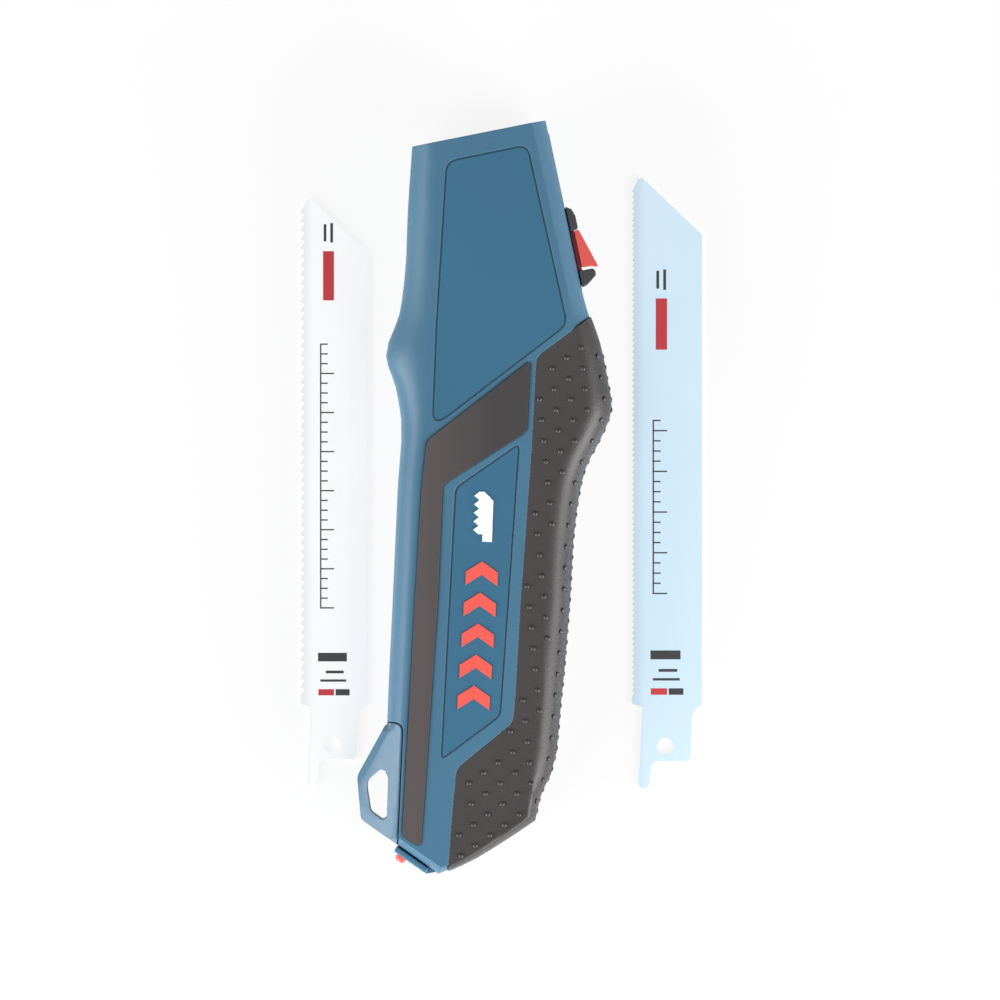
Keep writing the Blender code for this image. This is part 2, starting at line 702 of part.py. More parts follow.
tab_bed = box("tab_bed", (TAB[0] - CLOSE_FIT, TAB[1] + CLOSE_FIT), (-door_out - 1, -door_out + 0.7),
              (-TAB_HALF - CLOSE_FIT, TAB_HALF + CLOSE_FIT), DOOR, CUTTERS)
cut(door, pin_hole, tab_bed)
tab = box("door_tab", TAB, (-door_out - 1.5, -door_out + 0.55), (-TAB_HALF, TAB_HALF), DOOR)
soften(tab, 0.75, 3)
hinge_pin = turned(
    "door_hinge_pin", (0, 0), ((0, -LUG_END + 0.4), (HINGE_PIN, -LUG_END + 0.4), (HINGE_PIN, LUG_END - 0.4),
                               (0, LUG_END - 0.4)), DOOR, PARTS, 12,
)

# Blade mouth guide

guide = plate(
    "mouth_guide", [rounded(guide_outline, 1.4)], -GUIDE_DEEP, -GUIDE_FRONT, CLAMP, PARTS, "zxy",
)
lip_half = GUIDE_HALF + GUIDE_LIP
lip_high = GUIDE_HIGH + 1.4
lip_back = -GUIDE_DEEP - LIP_THICK
flange = box("flange", (-lip_half, lip_half), (lip_back, -GUIDE_DEEP + 0.4), (-lip_high, lip_high), CLAMP)
add(guide, flange)
slot = box("slot", (-SLOT_HALF, SLOT_HALF), (lip_back - 5, 5), (-SLOT_OPEN, SLOT_OPEN), CLAMP, CUTTERS)
lead = 2 * SLOT_OPEN
lead_front = -GUIDE_FRONT - 0.1
lead_back = lead_front - 1.2
lead_in = plate(
    "lead_in", [((-lead, 0.5), (-lead, lead_front), (-SLOT_OPEN, lead_back), (SLOT_OPEN, lead_back),
                 (lead, lead_front), (lead, 0.5))],
    -SLOT_HALF - 0.8, SLOT_HALF + 0.8, CLAMP, CUTTERS, "zyx",
)
cut(guide, slot, lead_in)

# Clamp: two jaws riveted through a shim that leaves the tang pocket

jaw_back = -JAW_FRONT - JAW_LONG
jaw_outline = rounded(rectangle(-JAW_HALF, JAW_HALF, jaw_back, -JAW_FRONT), 1.0, 2)
pin_along = -JAW_FRONT - HOLE_BACK
rivet_side = 0.5 * (POCKET_HALF + JAW_HALF)
rivet_places = [(x, y) for x in (-rivet_side, rivet_side) for y in (-JAW_FRONT - 2.5, jaw_back + 3.0)]
rivet_holes = [circle(place, RIVET + CLOSE_FIT, 12) for place in rivet_places]
pin_bore = circle((0, pin_along), LOCK_PIN + CLOSE_FIT)
plate("near_jaw", [jaw_outline, pin_bore, *rivet_holes], jaw_low, jaw_high, CLAMP)
far_jaw = plate("far_jaw", [jaw_outline, pin_bore, *rivet_holes], -jaw_high, -jaw_low, CLAMP)
sinks = []
sink_wide = RIVET_HEAD + CLOSE_FIT
sink_deep = sink_wide - RIVET
for place in rivet_places:
    profile = ((0, -jaw_high - 0.5), (sink_wide, -jaw_high - 0.5), (sink_wide, -jaw_high),
               (RIVET, -jaw_high + sink_deep), (0, -jaw_high + sink_deep))
    sinks.append(turned("rivet_sink", place, profile, CLAMP, CUTTERS, 12))
cut(far_jaw, *sinks)
pocket_end = -JAW_FRONT - POCKET_DEEP
shim_outline = (
    (-JAW_HALF, -JAW_FRONT), (-JAW_HALF, jaw_back), (JAW_HALF, jaw_back), (JAW_HALF, -JAW_FRONT),
    (POCKET_HALF, -JAW_FRONT), (POCKET_HALF, pocket_end), (-POCKET_HALF, pocket_end),
    (-POCKET_HALF, -JAW_FRONT),
)
plate("jaw_shim", [shim_outline, *rivet_holes], -SHIM_HALF, SHIM_HALF, CLAMP)
face = jaw_high + CLOSE_FIT
flush = -jaw_high + 0.05
rivet_profile = (
    (0, flush), (RIVET_HEAD, flush), (RIVET, flush + RIVET_HEAD - RIVET), (RIVET, face),
    (RIVET_HEAD, face), (RIVET_HEAD - 0.2, face + 0.5), (0, face + 0.5),
)
copies("jaw_rivet", rivet_profile, rivet_places, CLAMP, 12)

# Lock pin under the ramp of the release fork, with its spring

fork_top = -jaw_high - FIT
slope = PIN_TRAVEL / SLIDE_TRAVEL
flange_top = fork_top - FORK_TIP - FIT
flange_low = flange_top - FLANGE_THICK
turned(
    "lock_pin", (0, pin_along),
    ((0, flange_low - 2.8), (1.1, flange_low - 2.8), (1.1, flange_low), (PIN_FLANGE, flange_low),
     (PIN_FLANGE, flange_top), (LOCK_PIN, flange_top), (LOCK_PIN, jaw_low + 0.4),
     (LOCK_PIN - 0.5, jaw_low + 0.9), (0, jaw_low + 0.9)), CLAMP,
)
coil(
    "lock_pin_spring", (0, pin_along, flange_low - 0.5), (0, pin_along, -BODY_HALF + WALL + 0.5), 2.0, 0.22,
    4.5, CLAMP,
)

# Release fork: prongs straddle the lock pin, an arm reaches the slider's stem

ramp_start = pin_along - PIN_FLANGE - 0.4
ramp_end = ramp_start - SLIDE_TRAVEL
fork_back = STEM_BACK + 1.0
fork_low = fork_top - FORK_TIP - PIN_TRAVEL
foot_in = JAW_HALF + FOOT_GAP
arm_right = foot_in + FOOT_WIDE
prong_in = LOCK_PIN + 0.5
prong_tip = pin_along + PIN_FLANGE
prong_root = pin_along - SLIDE_TRAVEL - LOCK_PIN - 0.6
arm_front = STEM_BACK + STEM_LONG
fork_outline = (
    (-FORK_HALF, prong_tip), (-FORK_HALF, fork_back), (arm_right, fork_back), (arm_right, arm_front),
    (FORK_HALF, arm_front), (FORK_HALF, prong_tip), (prong_in, prong_tip), (prong_in, prong_root),
    (-prong_in, prong_root), (-prong_in, prong_tip),
)
fork = plate("release_fork", [[(x - SPINE, y) for x, y in fork_outline]], fork_low, fork_top, SLIDE)
ramp = plate(
    "ramp", [((prong_tip + 5, fork_top + 2), (fork_back - 5, fork_top + 2), (fork_back - 5, fork_low),
              (ramp_end, fork_low), (ramp_start, fork_top - FORK_TIP),
              (prong_tip + 5, fork_top - FORK_TIP))],
    -40, 40, SLIDE, CUTTERS, "yzx",
)
keep(fork, ramp)
stem_middle = STEM_BACK + 0.5 * STEM_LONG
screw_across = 0.5 * (foot_in + arm_right) - SPINE
FORK_SCREW = 0.65    # radius
fork_bore = FORK_SCREW + CLOSE_FIT
fork_hole = turned(
    "fork_hole", (screw_across, stem_middle), ((0, -20), (fork_bore, -20), (fork_bore, -0.8), (0, -0.8)),
    SLIDE, CUTTERS, 12,
)
cut(fork, fork_hole)
head_low = fork_low - CLOSE_FIT
fork_head = FORK_SCREW + 0.45
turned(
    "fork_screw", (screw_across, stem_middle),
    ((0, head_low - 0.8), (fork_head, head_low - 0.8), (fork_head, head_low), (FORK_SCREW, head_low),
     (FORK_SCREW, -1.1), (0, -1.1)), SLIDE, PARTS, 12,
)

# Slider on the spine rail; heights are above the spine

rail = box("spine_rail", (RAIL_IN, SPINE + RAIL_PROUD), RAIL_ENDS, (-RAIL_HALF, RAIL_HALF), CLAMP)
soften(rail, 0.3, 1)
stem_front = STEM_BACK + STEM_LONG
rail_slot = box("rail_slot", (0, SPINE + 5), (STEM_BACK - 0.4, stem_front + SLIDE_TRAVEL + 0.4),
                (-STEM_HALF - FIT, STEM_HALF + FIT), CLAMP, CUTTERS)
cut(rail, rail_slot)

base_low = RAIL_PROUD + CLOSE_FIT
base_top = base_low + 0.85
BUTTON_FRONT = -28.0
BUTTON_BACK = -37.6
slider_outline = (
    (base_low, -21.7), (base_low, -41.9), (1.6, -41.6), (4.2, -39.7), (4.3, -38.8),
    (3.9, BUTTON_BACK - FIT), (base_top, BUTTON_BACK - FIT), (base_top, BUTTON_FRONT + FIT),
    (2.3, BUTTON_FRONT + FIT), (2.3, -24.4), (1.7, -22.7),
)
slider = plate("release_slider", [slider_outline], -SLIDER_HALF, SLIDER_HALF, SLIDE)
soften(slider, 0.35, 2, 50)
SKIRT = 1.3
beds = []
for sign in (-1, 1):
    edge_low, edge_high = sorted((sign * (SLIDER_HALF - SKIRT - FIT), sign * 20))
    beds.append(box("skirt_bed", (-1, 9), (BUTTON_BACK - FIT, BUTTON_FRONT + FIT), (edge_low, edge_high),
                    SLIDE, CUTTERS))
stem = box("stem", (-2.6, base_top - 0.2), (STEM_BACK, stem_front), (-STEM_HALF, STEM_HALF), SLIDE)
foot = box("foot", (foot_in - SPINE, -2.2), (STEM_BACK, stem_front), (fork_top + FIT, STEM_HALF), SLIDE)
add(stem, foot)
add(slider, stem)
BUTTON_SPRING = 1.0  # coil radius
spring_floor = -2.4
spring_round = circle((stem_middle, 0), BUTTON_SPRING + 0.5, 16)
spring_bore = plate("spring_bore", [spring_round], spring_floor, 8, SLIDE, CUTTERS, "yzx")
cut(slider, spring_bore, fork_hole, *beds)

# Red button pressed into the slider

button_low = BUTTON_TRAVEL + 0.4
button_rise = (5.2 - 2.4) / (BUTTON_FRONT - BUTTON_BACK)
button_outline = (
    (2.4, BUTTON_FRONT), (button_low, BUTTON_FRONT), (button_low, BUTTON_BACK + 0.6),
    (3.6, BUTTON_BACK + 0.4), (4.6, BUTTON_BACK), (5.2, BUTTON_BACK),
)
button = plate("release_button", [button_outline], -SLIDER_HALF, SLIDER_HALF, SLIDE)
soften(button, 0.4, 2, 50)
skin = 0.9
pocket_top = base_top + BUTTON_TRAVEL + FIT
pocket = plate(
    "pocket", [((-2, BUTTON_FRONT + 3), (-2, BUTTON_BACK - 3), (pocket_top, BUTTON_BACK - 3),
                (pocket_top, BUTTON_FRONT + 3))],
    -SLIDER_HALF + SKIRT, SLIDER_HALF - SKIRT, SLIDE, CUTTERS,
)
button_ceiling = 2.4 + (BUTTON_FRONT - stem_middle) * button_rise - skin
spring_seat = plate("spring_seat", [spring_round], 0, button_ceiling, SLIDE, CUTTERS, "yzx")
cut(button, pocket, spring_seat)
coil(
    "button_spring", (spring_floor + 0.4, stem_middle, 0), (button_ceiling - 0.4, stem_middle, 0),
    BUTTON_SPRING, 0.18, 4.5, SLIDE,
)
spring_across = 0.5 * (foot_in + arm_right) - SPINE
coil(
    "slider_spring", (spring_across, stem_front + 0.4, 0), (spring_across, -JAW_FRONT - 1.8, 0), 0.85, 0.2,
    10, SLIDE,
)


# Loose blades; drawn from the middle of the shoulder, teeth on the left, tip up

def blade(name, shoulder, size, pitch):
    """Sabre saw blade lying flat, with a half inch shank."""
    half = 0.5 * BLADE_WIDE * size
    tip = (BLADE_LONG - TANG_LONG) * size
    edge_top = tip - 3.4 * size
    holder = datum(name + "_place", (*shoulder, 0), BLADE_LEAN, None)
    line = [(-half, edge_top), (-half + 1.5, tip - 0.3), (-half + 2.6, tip), (half, tip - 14.0 * size)]
    line = line[::-1]
    depth = 0.42 * pitch
    count = int((edge_top - 1.5) / pitch)
    start = edge_top - count * pitch
    for tooth in range(count - 1, -1, -1):
        low = start + tooth * pitch
        line.append((-half + depth, low + 0.75 * pitch))
        line.append((-half, low))
    line.extend([(-half, 0.5), (-half + 0.6, 0.2)])
    left = HOLE_SIDE - SHANK_HALF
    right = HOLE_SIDE + SHANK_HALF - 0.1
    end = -TANG_LONG
    tang = [
        (left + 1.0, -0.4), (left, end + 1.2), (left + 0.4, end + 0.2), (left + 1.8, end),
        (left + 2.5, end + 0.8), (left + 3.1, end + 5.5), (left + 4.1, end + 6.7), (right - 1.1, end + 6.7),
        (right - 0.3, end + 7.7), (right, -3.0), (right + 0.5, -1.5), (right + 1.5, -0.6),
    ]
    line.extend([(x * size, y * size) for x, y in tang])
    line.append((half, 0.3))
    hole = circle((HOLE_SIDE * size, -HOLE_BACK * size), SHANK_HOLE, 20)
    item = plate(name, [line, hole], 0.0, BLADE_THICK, holder)
    return item


blade("metal_blade", METAL_SHOULDER, METAL_SIZE, METAL_PITCH)
blade("wood_metal_blade", WOOD_SHOULDER, WOOD_SIZE, WOOD_PITCH)


# Materials

def material(name, colour, metallic, roughness, *words):
    """Principled material for the pieces named."""
    item = bpy.data.materials.new(name)
    item.use_nodes = True
    shader = item.node_tree.nodes["Principled BSDF"]
    shader.inputs["Base Color"].default_value = (*colour, 1.0)
    shader.inputs["Metallic"].default_value = metallic
    shader.inputs["Roughness"].default_value = roughness
    item.diffuse_color = (*colour, 1.0)
    for piece in PARTS.objects:
        if piece.type == "MESH" and piece.name.rstrip("_0123456789") in words:
            piece.data.materials.clear()
            piece.data.materials.append(item)


material("blue_plastic", (0.055, 0.16, 0.26), 0, 0.45, "near_shell", "far_shell", "hang_loop")
material("grip_rubber", (0.06, 0.055, 0.058), 0, 0.8, "near_grip", "far_grip")
material("inlay_plastic", (0.1, 0.09, 0.09), 0, 0.6, "near_inlay", "far_inlay")
material("black_plastic", (0.02, 0.02, 0.022), 0, 0.5, "release_slider", "spine_rail", "magazine_sleeve")
material("navy_plastic", (0.03, 0.06, 0.1), 0, 0.5, "tail_door", "mouth_guide")
material("red_plastic", (0.75, 0.06, 0.05), 0, 0.4, "release_button", "door_tab")
material("blade_steel", (0.6, 0.72, 0.82), 0.6, 0.35, "metal_blade")
material("white_steel", (0.85, 0.87, 0.88), 0.4, 0.4, "wood_metal_blade")
material("plain_steel", (0.5, 0.5, 0.52), 1, 0.35, "near_jaw", "far_jaw", "jaw_shim", "lock_pin")
material("fork_steel", (0.5, 0.5, 0.52), 1, 0.4, "release_fork")
material("small_steel", (0.6, 0.6, 0.62), 1, 0.3, "shell_screw", "jaw_rivet", "fork_screw", "door_hinge_pin")
material("spring_steel", (0.4, 0.4, 0.42), 1, 0.3, "lock_pin_spring", "button_spring", "slider_spring")

bpy.context.view_layer.update()
corners = []
for item in PARTS.objects:
    if item.type == "MESH":
        item.data.shade_smooth()
        item.data.set_sharp_from_angle(angle=math.radians(35))
        corners.extend(item.matrix_world @ Vector(corner) for corner in item.bound_box)
        print(item.name, len(item.data.polygons), "faces")
for axis in range(3):
    values = [corner[axis] / MM for corner in corners]
    print("XYZ"[axis], "from", round(min(values), 2), "to", round(max(values), 2), "mm")
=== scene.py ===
# %% [markdown]
# # Dressing a hand saw handle
#
# The solids of the handle come ready from the drawing office: two moulded shells, rubber grips, a
# blade clamp, a thumb release, a tail door and two spare blades. This lesson gives them their
# finish. Each step first says what the piece is on the real tool, and then makes it with the
# operators that a modeller would use by hand. The first cell loads the solids and keeps the box
# that they fill.

# %% Load the frame
import json
import math

import bmesh
import bpy
from mathutils import Matrix, Vector

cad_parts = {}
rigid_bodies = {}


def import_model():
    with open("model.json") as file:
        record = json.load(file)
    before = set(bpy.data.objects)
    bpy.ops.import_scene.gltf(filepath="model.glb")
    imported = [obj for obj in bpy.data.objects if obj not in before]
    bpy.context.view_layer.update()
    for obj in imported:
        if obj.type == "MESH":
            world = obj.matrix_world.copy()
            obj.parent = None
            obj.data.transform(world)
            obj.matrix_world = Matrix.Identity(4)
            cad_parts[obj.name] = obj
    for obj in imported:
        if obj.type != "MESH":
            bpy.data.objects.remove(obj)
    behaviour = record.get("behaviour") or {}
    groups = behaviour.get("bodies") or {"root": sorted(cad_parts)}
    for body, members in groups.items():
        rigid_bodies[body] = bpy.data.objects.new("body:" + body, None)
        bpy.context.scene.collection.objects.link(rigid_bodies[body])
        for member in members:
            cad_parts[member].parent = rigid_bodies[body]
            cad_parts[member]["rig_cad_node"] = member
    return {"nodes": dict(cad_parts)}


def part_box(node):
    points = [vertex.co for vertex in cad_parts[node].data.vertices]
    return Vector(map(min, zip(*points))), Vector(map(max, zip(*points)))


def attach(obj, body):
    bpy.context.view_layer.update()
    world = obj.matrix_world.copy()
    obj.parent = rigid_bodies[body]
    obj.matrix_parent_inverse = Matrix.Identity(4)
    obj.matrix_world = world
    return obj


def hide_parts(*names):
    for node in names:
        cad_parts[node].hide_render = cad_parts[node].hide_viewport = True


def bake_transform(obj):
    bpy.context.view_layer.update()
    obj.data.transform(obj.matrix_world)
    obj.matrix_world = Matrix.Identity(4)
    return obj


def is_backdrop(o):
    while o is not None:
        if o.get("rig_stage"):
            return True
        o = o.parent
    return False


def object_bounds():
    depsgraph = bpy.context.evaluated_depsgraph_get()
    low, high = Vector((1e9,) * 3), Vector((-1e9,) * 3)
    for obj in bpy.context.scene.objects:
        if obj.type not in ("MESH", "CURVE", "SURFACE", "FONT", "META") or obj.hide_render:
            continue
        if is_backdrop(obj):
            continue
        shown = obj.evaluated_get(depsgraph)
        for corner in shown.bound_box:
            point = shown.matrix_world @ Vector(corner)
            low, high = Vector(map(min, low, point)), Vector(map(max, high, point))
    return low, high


MM = 0.001
SEAM_HEIGHT = 15.3 * MM

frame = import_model()
cad_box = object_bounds()
box_size = [round(side / MM, 1) for side in cad_box[1] - cad_box[0]]
print("solids:", len(frame["nodes"]), "box in mm:", box_size)

# %% [markdown]
# The tool is photographed from straight above through a long lens, so lines that are parallel on
# the tool stay parallel in the picture. The camera is turned two degrees, because the tool lies
# that much off the picture's upright. A picture side of 245 mm at the height of the seam sets the
# lens.

# %% Camera
PICTURE_SIDE = 245 * MM
PICTURE_TURN = 2.0
CAMERA_RISE = 5.0
SENSOR_WIDE = 36.0

camera_data = bpy.data.cameras.new("overhead_camera")
camera_data.sensor_width = SENSOR_WIDE
camera_data.lens = SENSOR_WIDE * CAMERA_RISE / PICTURE_SIDE
camera_data.clip_end = 4 * CAMERA_RISE
camera = bpy.data.objects.new("overhead_camera", camera_data)
camera.location = (0.0, 0.0, SEAM_HEIGHT + CAMERA_RISE)
camera.rotation_euler = (0.0, 0.0, math.radians(PICTURE_TURN))
bpy.context.scene.collection.objects.link(camera)
bpy.context.scene.camera = camera
print("lens in mm:", round(camera_data.lens))

# %% [markdown]
# A finish is one shader and the nodes that vary it over the surface. Writing shader maths as
# Python sums keeps it readable, so a small class stands for a socket and turns each sum into a
# Math node.

# %% Shader sums
class Level:
    """One value of a finish, which can be added, subtracted and multiplied."""

    def __init__(self, finish, socket):
        self.finish = finish
        self.socket = socket

    def sum(self, operation, first, second):
        return self.finish.node("ShaderNodeMath", {"operation": operation}, {0: first, 1: second})

    def __add__(self, other):
        return self.sum("ADD", self, other)

    def __radd__(self, other):
        return self.sum("ADD", other, self)

    def __sub__(self, other):
        return self.sum("SUBTRACT", self, other)

    def __rsub__(self, other):
        return self.sum("SUBTRACT", other, self)

    def __mul__(self, other):
        return self.sum("MULTIPLY", self, other)

    def __rmul__(self, other):
        return self.sum("MULTIPLY", other, self)


# %% [markdown]
# Every other node comes from one method, which takes its kind, its settings and what goes into its
# sockets. Constants go straight onto the shader, and only what varies is fed in by a link.

# %% Finishes
class Finish:
    """A material or a world: one shader, its constant sockets, and what varies."""

    def __init__(self, owner, shader, constants):
        owner.use_nodes = True
        self.owner = owner
        self.tree = owner.node_tree
        self.shader = self.tree.nodes[shader]
        for socket, value in constants.items():
            self.shader.inputs[socket].default_value = value

    def node(self, kind, settings, sockets, output=0):
        made = self.tree.nodes.new(kind)
        for setting, value in settings.items():
            setattr(made, setting, value)
        for socket, value in sockets.items():
            if isinstance(value, Level):
                self.tree.links.new(value.socket, made.inputs[socket])
            else:
                made.inputs[socket].default_value = value
        return Level(self, made.outputs[output])

    def feed(self, socket, level):
        self.tree.links.new(level.socket, self.shader.inputs[socket])

    def place(self):
        """Where a point lies on the tool, in metres."""
        return self.node("ShaderNodeTexCoord", {}, {}, "Object")

    def across(self, place):
        """How far a place lies along X, in metres."""
        return self.node("ShaderNodeSeparateXYZ", {}, {"Vector": place}, "X")

    def noise(self, size):
        """Cloudy pattern from 0 to 1 whose features are about size across."""
        sockets = {"Vector": self.place(), "Scale": 1.0 / size, "Detail": 2.0}
        return self.node("ShaderNodeTexNoise", {}, sockets, "Fac")

    def ramp(self, level, start, end, low, high):
        """Level carried from one span to another, held at its ends."""
        sockets = {"Value": level, "From Min": start, "From Max": end}
        sockets.update({"To Min": low, "To Max": high})
        return self.node("ShaderNodeMapRange", {}, sockets, "Result")

    def blend(self, share, first, second):
        """Colour between two colours."""
        first = first if isinstance(first, Level) else (*first, 1.0)
        second = second if isinstance(second, Level) else (*second, 1.0)
        return self.node("ShaderNodeMix", {"data_type": "RGBA"}, {0: share, 6: first, 7: second}, 2)


# %% [markdown]
# The tool is lit as in a light tent: soft white all round, and a long soft lamp low on each side,
# whose reflections run along the rounded edges. Both stand nearer the tail, where the edges shine
# most. The camera and shiny surfaces see the tent as plain white.

# %% Tent and lamps
TENT = 0.05

world = bpy.data.worlds.new("light_tent")
bpy.context.scene.world = world
tent = Finish(world, "Background", {"Color": (1.0, 1.0, 1.0, 1.0)})
camera_ray = tent.node("ShaderNodeLightPath", {}, {}, "Is Camera Ray")
glossy_ray = tent.node("ShaderNodeLightPath", {}, {}, "Is Glossy Ray")
clear_ray = tent.node("ShaderNodeLightPath", {}, {}, "Is Transmission Ray")
tent.feed("Strength", TENT + (1.0 - TENT) * (camera_ray + glossy_ray + clear_ray))


def soft_lamp(name, place, size, watts):
    """Long soft lamp that faces the middle of the tool."""
    data = bpy.data.lights.new(name, "AREA")
    data.shape = "RECTANGLE"
    data.size, data.size_y = size
    data.energy = watts
    lamp = bpy.data.objects.new(name, data)
    lamp.location = place
    facing = Vector((0.0, 0.0, SEAM_HEIGHT)) - Vector(place)
    lamp.rotation_euler = facing.to_track_quat("-Z", "Y").to_euler()
    bpy.context.scene.collection.objects.link(lamp)


soft_lamp("left_lamp", (-0.95, -0.52, 0.45), (1.2, 0.75), 27.0)
soft_lamp("right_lamp", (0.95, -0.55, 0.45), (1.2, 0.85), 32.0)
bpy.context.scene.view_settings.view_transform = "Standard"
print("tent strength", TENT)

# %% [markdown]
# The floor is a sheet of white paper, and one large plane is enough for it. To the camera it mostly
# glows white, as a lit backdrop does, and the rest of it is plain paper that takes the tool's
# shadow. A plain white floor alone would look grey beside the tool.

# %% Floor
FLOOR_SIDE = 6.0
GLOW_SHARE = 0.88

bpy.ops.object.select_all(action="DESELECT")
bpy.ops.mesh.primitive_plane_add(size=FLOOR_SIDE, location=(0.0, 0.0, 0.0))
floor = bpy.context.object
floor.name = "floor"
paper = Finish(
    bpy.data.materials.new("white_paper"), "Principled BSDF",
    {"Base Color": (0.86, 0.86, 0.86, 1.0), "Roughness": 0.9, "Specular IOR Level": 0.1},
)
white = {"Color": (1.0, 1.0, 1.0, 1.0), "Strength": 1.0}
glow = paper.node("ShaderNodeEmission", {}, white, "Emission")
seen = paper.node("ShaderNodeLightPath", {}, {}, "Is Camera Ray")
plain = Level(paper, paper.shader.outputs[0])
lit = paper.node("ShaderNodeMixShader", {}, {0: GLOW_SHARE * seen, 1: plain, 2: glow})
paper.tree.links.new(lit.socket, paper.tree.nodes["Material Output"].inputs["Surface"])
floor.data.materials.append(paper.owner)
floor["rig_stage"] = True
print("floor laid, side in m:", FLOOR_SIDE)

# %% [markdown]
# The mouldings are plastics with a fine spark-eroded texture. The colour is nearly even, the gloss
# wanders a little, and edges that get handled are a touch paler. Real mouldings have no
# knife-sharp edge, so a Bevel node rounds the shading there, and how far it turns the surface
# marks the worn edge. The inlay's long arm gets a paler colour than its short arm, which is a
# painted sheen, and the colour fades across between them.

# %% Moulded plastic
CLOUD_SIZE = 30 * MM
SPECK_SIZE = 0.6 * MM
DARKER, LIGHTER = 0.92, 1.08
RUB_START, RUB_END, MOST_RUB = 0.03, 0.35, 0.3


def toned(colour, share):
    """Colour made darker or lighter by a share, up to white."""
    return [min(1.0, share * value) for value in colour]


def moulded_plastic(name, colour, worn_colour, roughness, edge, relief, fade=None):
    """Textured plastic with softened, slightly worn edges; edge and relief are in millimetres.

    A fade holds a second colour, and the two places across the tool between which it takes over.
    On the inlay it fades out a painted sheen.
    """
    finish = Finish(bpy.data.materials.new(name), "Principled BSDF", {"Specular IOR Level": 0.5})
    rounded = finish.node("ShaderNodeBevel", {"samples": 6}, {"Radius": edge * MM}, "Normal")
    plain = finish.node("ShaderNodeNewGeometry", {}, {}, "Normal")
    dot = {"operation": "DOT_PRODUCT"}
    along = finish.node("ShaderNodeVectorMath", dot, {0: rounded, 1: plain}, "Value")
    cloud = finish.noise(CLOUD_SIZE)
    speck = finish.noise(SPECK_SIZE)
    body = finish.blend(cloud, toned(colour, DARKER), toned(colour, LIGHTER))
    if fade:
        unsheened_colour, start, end = fade
        share = finish.ramp(finish.across(finish.place()), start * MM, end * MM, 0.0, 1.0)
        body = finish.blend(share, body, unsheened_colour)
    rub = finish.ramp((1.0 - along) * (0.4 + cloud), RUB_START, RUB_END, 0.0, MOST_RUB)
    finish.feed("Base Color", finish.blend(rub, body, worn_colour))
    finish.feed("Roughness", roughness - 0.05 + 0.06 * cloud + 0.04 * speck)
    sockets = {"Height": speck, "Strength": 1.0, "Distance": relief * MM, "Normal": rounded}
    finish.feed("Normal", finish.node("ShaderNodeBump", {}, sockets))
    return finish.owner


CASE_BLUE, WORN_BLUE = (0.036, 0.120, 0.197), (0.12, 0.25, 0.35)
PAD_GREY = (0.020, 0.016, 0.0165)
# The long arm's paler colour is painted sheen; it fades to the short arm's plain dark tone.
LONG_ARM_SHEEN, WORN_INLAY = (0.046, 0.037, 0.037), (0.10, 0.09, 0.09)
SHORT_ARM = ((0.016, 0.0125, 0.0135), -18.0, -2.0)
BLUE = moulded_plastic("blue_plastic", CASE_BLUE, WORN_BLUE, 0.50, 0.3, 0.03)
GLOSSY_BLUE = moulded_plastic("glossy_blue_plastic", CASE_BLUE, WORN_BLUE, 0.32, 0.5, 0.01)
# The panels are rougher, and their deeper blue is painted shade for the sheen they don't catch.
PANEL_SHADE_BLUE = moulded_plastic(
    "panel_blue_painted_shade", (0.017, 0.097, 0.172), (0.10, 0.24, 0.34), 0.55, 0.1, 0.03)
# Painted shade: the panel-line grooves get a darker blue than the flank.
GROOVE_SHADE_BLUE = moulded_plastic(
    "groove_painted_shade", (0.009, 0.052, 0.094), (0.02, 0.07, 0.12), 0.6, 0.05, 0.02)
# On the tail door this blue, a touch lighter than the shells', is painted light against the shade at the
# tail.
NAVY = moulded_plastic("navy_plastic", (0.040, 0.130, 0.220), (0.12, 0.22, 0.32), 0.45, 0.2, 0.02)
RUBBER = moulded_plastic("grip_rubber", PAD_GREY, (0.08, 0.07, 0.07), 0.50, 0.3, 0.06)
NUB_RUBBER = moulded_plastic("nub_rubber", PAD_GREY, (0.06, 0.05, 0.05), 0.42, 0.05, 0.02)
INLAY = moulded_plastic("inlay_plastic", LONG_ARM_SHEEN, WORN_INLAY, 0.6, 0.3, 0.03, SHORT_ARM)
BLACK = moulded_plastic("black_plastic", (0.040, 0.039, 0.041), (0.09, 0.09, 0.09), 0.42, 0.2, 0.02)
RED = moulded_plastic("red_plastic", (0.92, 0.12, 0.10), (0.95, 0.25, 0.2), 0.35, 0.2, 0.02)
print("plastics made")

# %% [markdown]
# The steels are ground, which leaves fine marks one way. The two blades are lacquered over that,
# so their colour is the lacquer's, and it thins out along the teeth, where another steel is welded
# on.

# %% Ground and lacquered steel
GRIND = (9000.0, 120.0, 9000.0)
GRIND_DEEP = 0.004 * MM
SHEEN_SIZE = 20 * MM
THIN_START, THIN_END = 0.5 * MM, 3.2 * MM


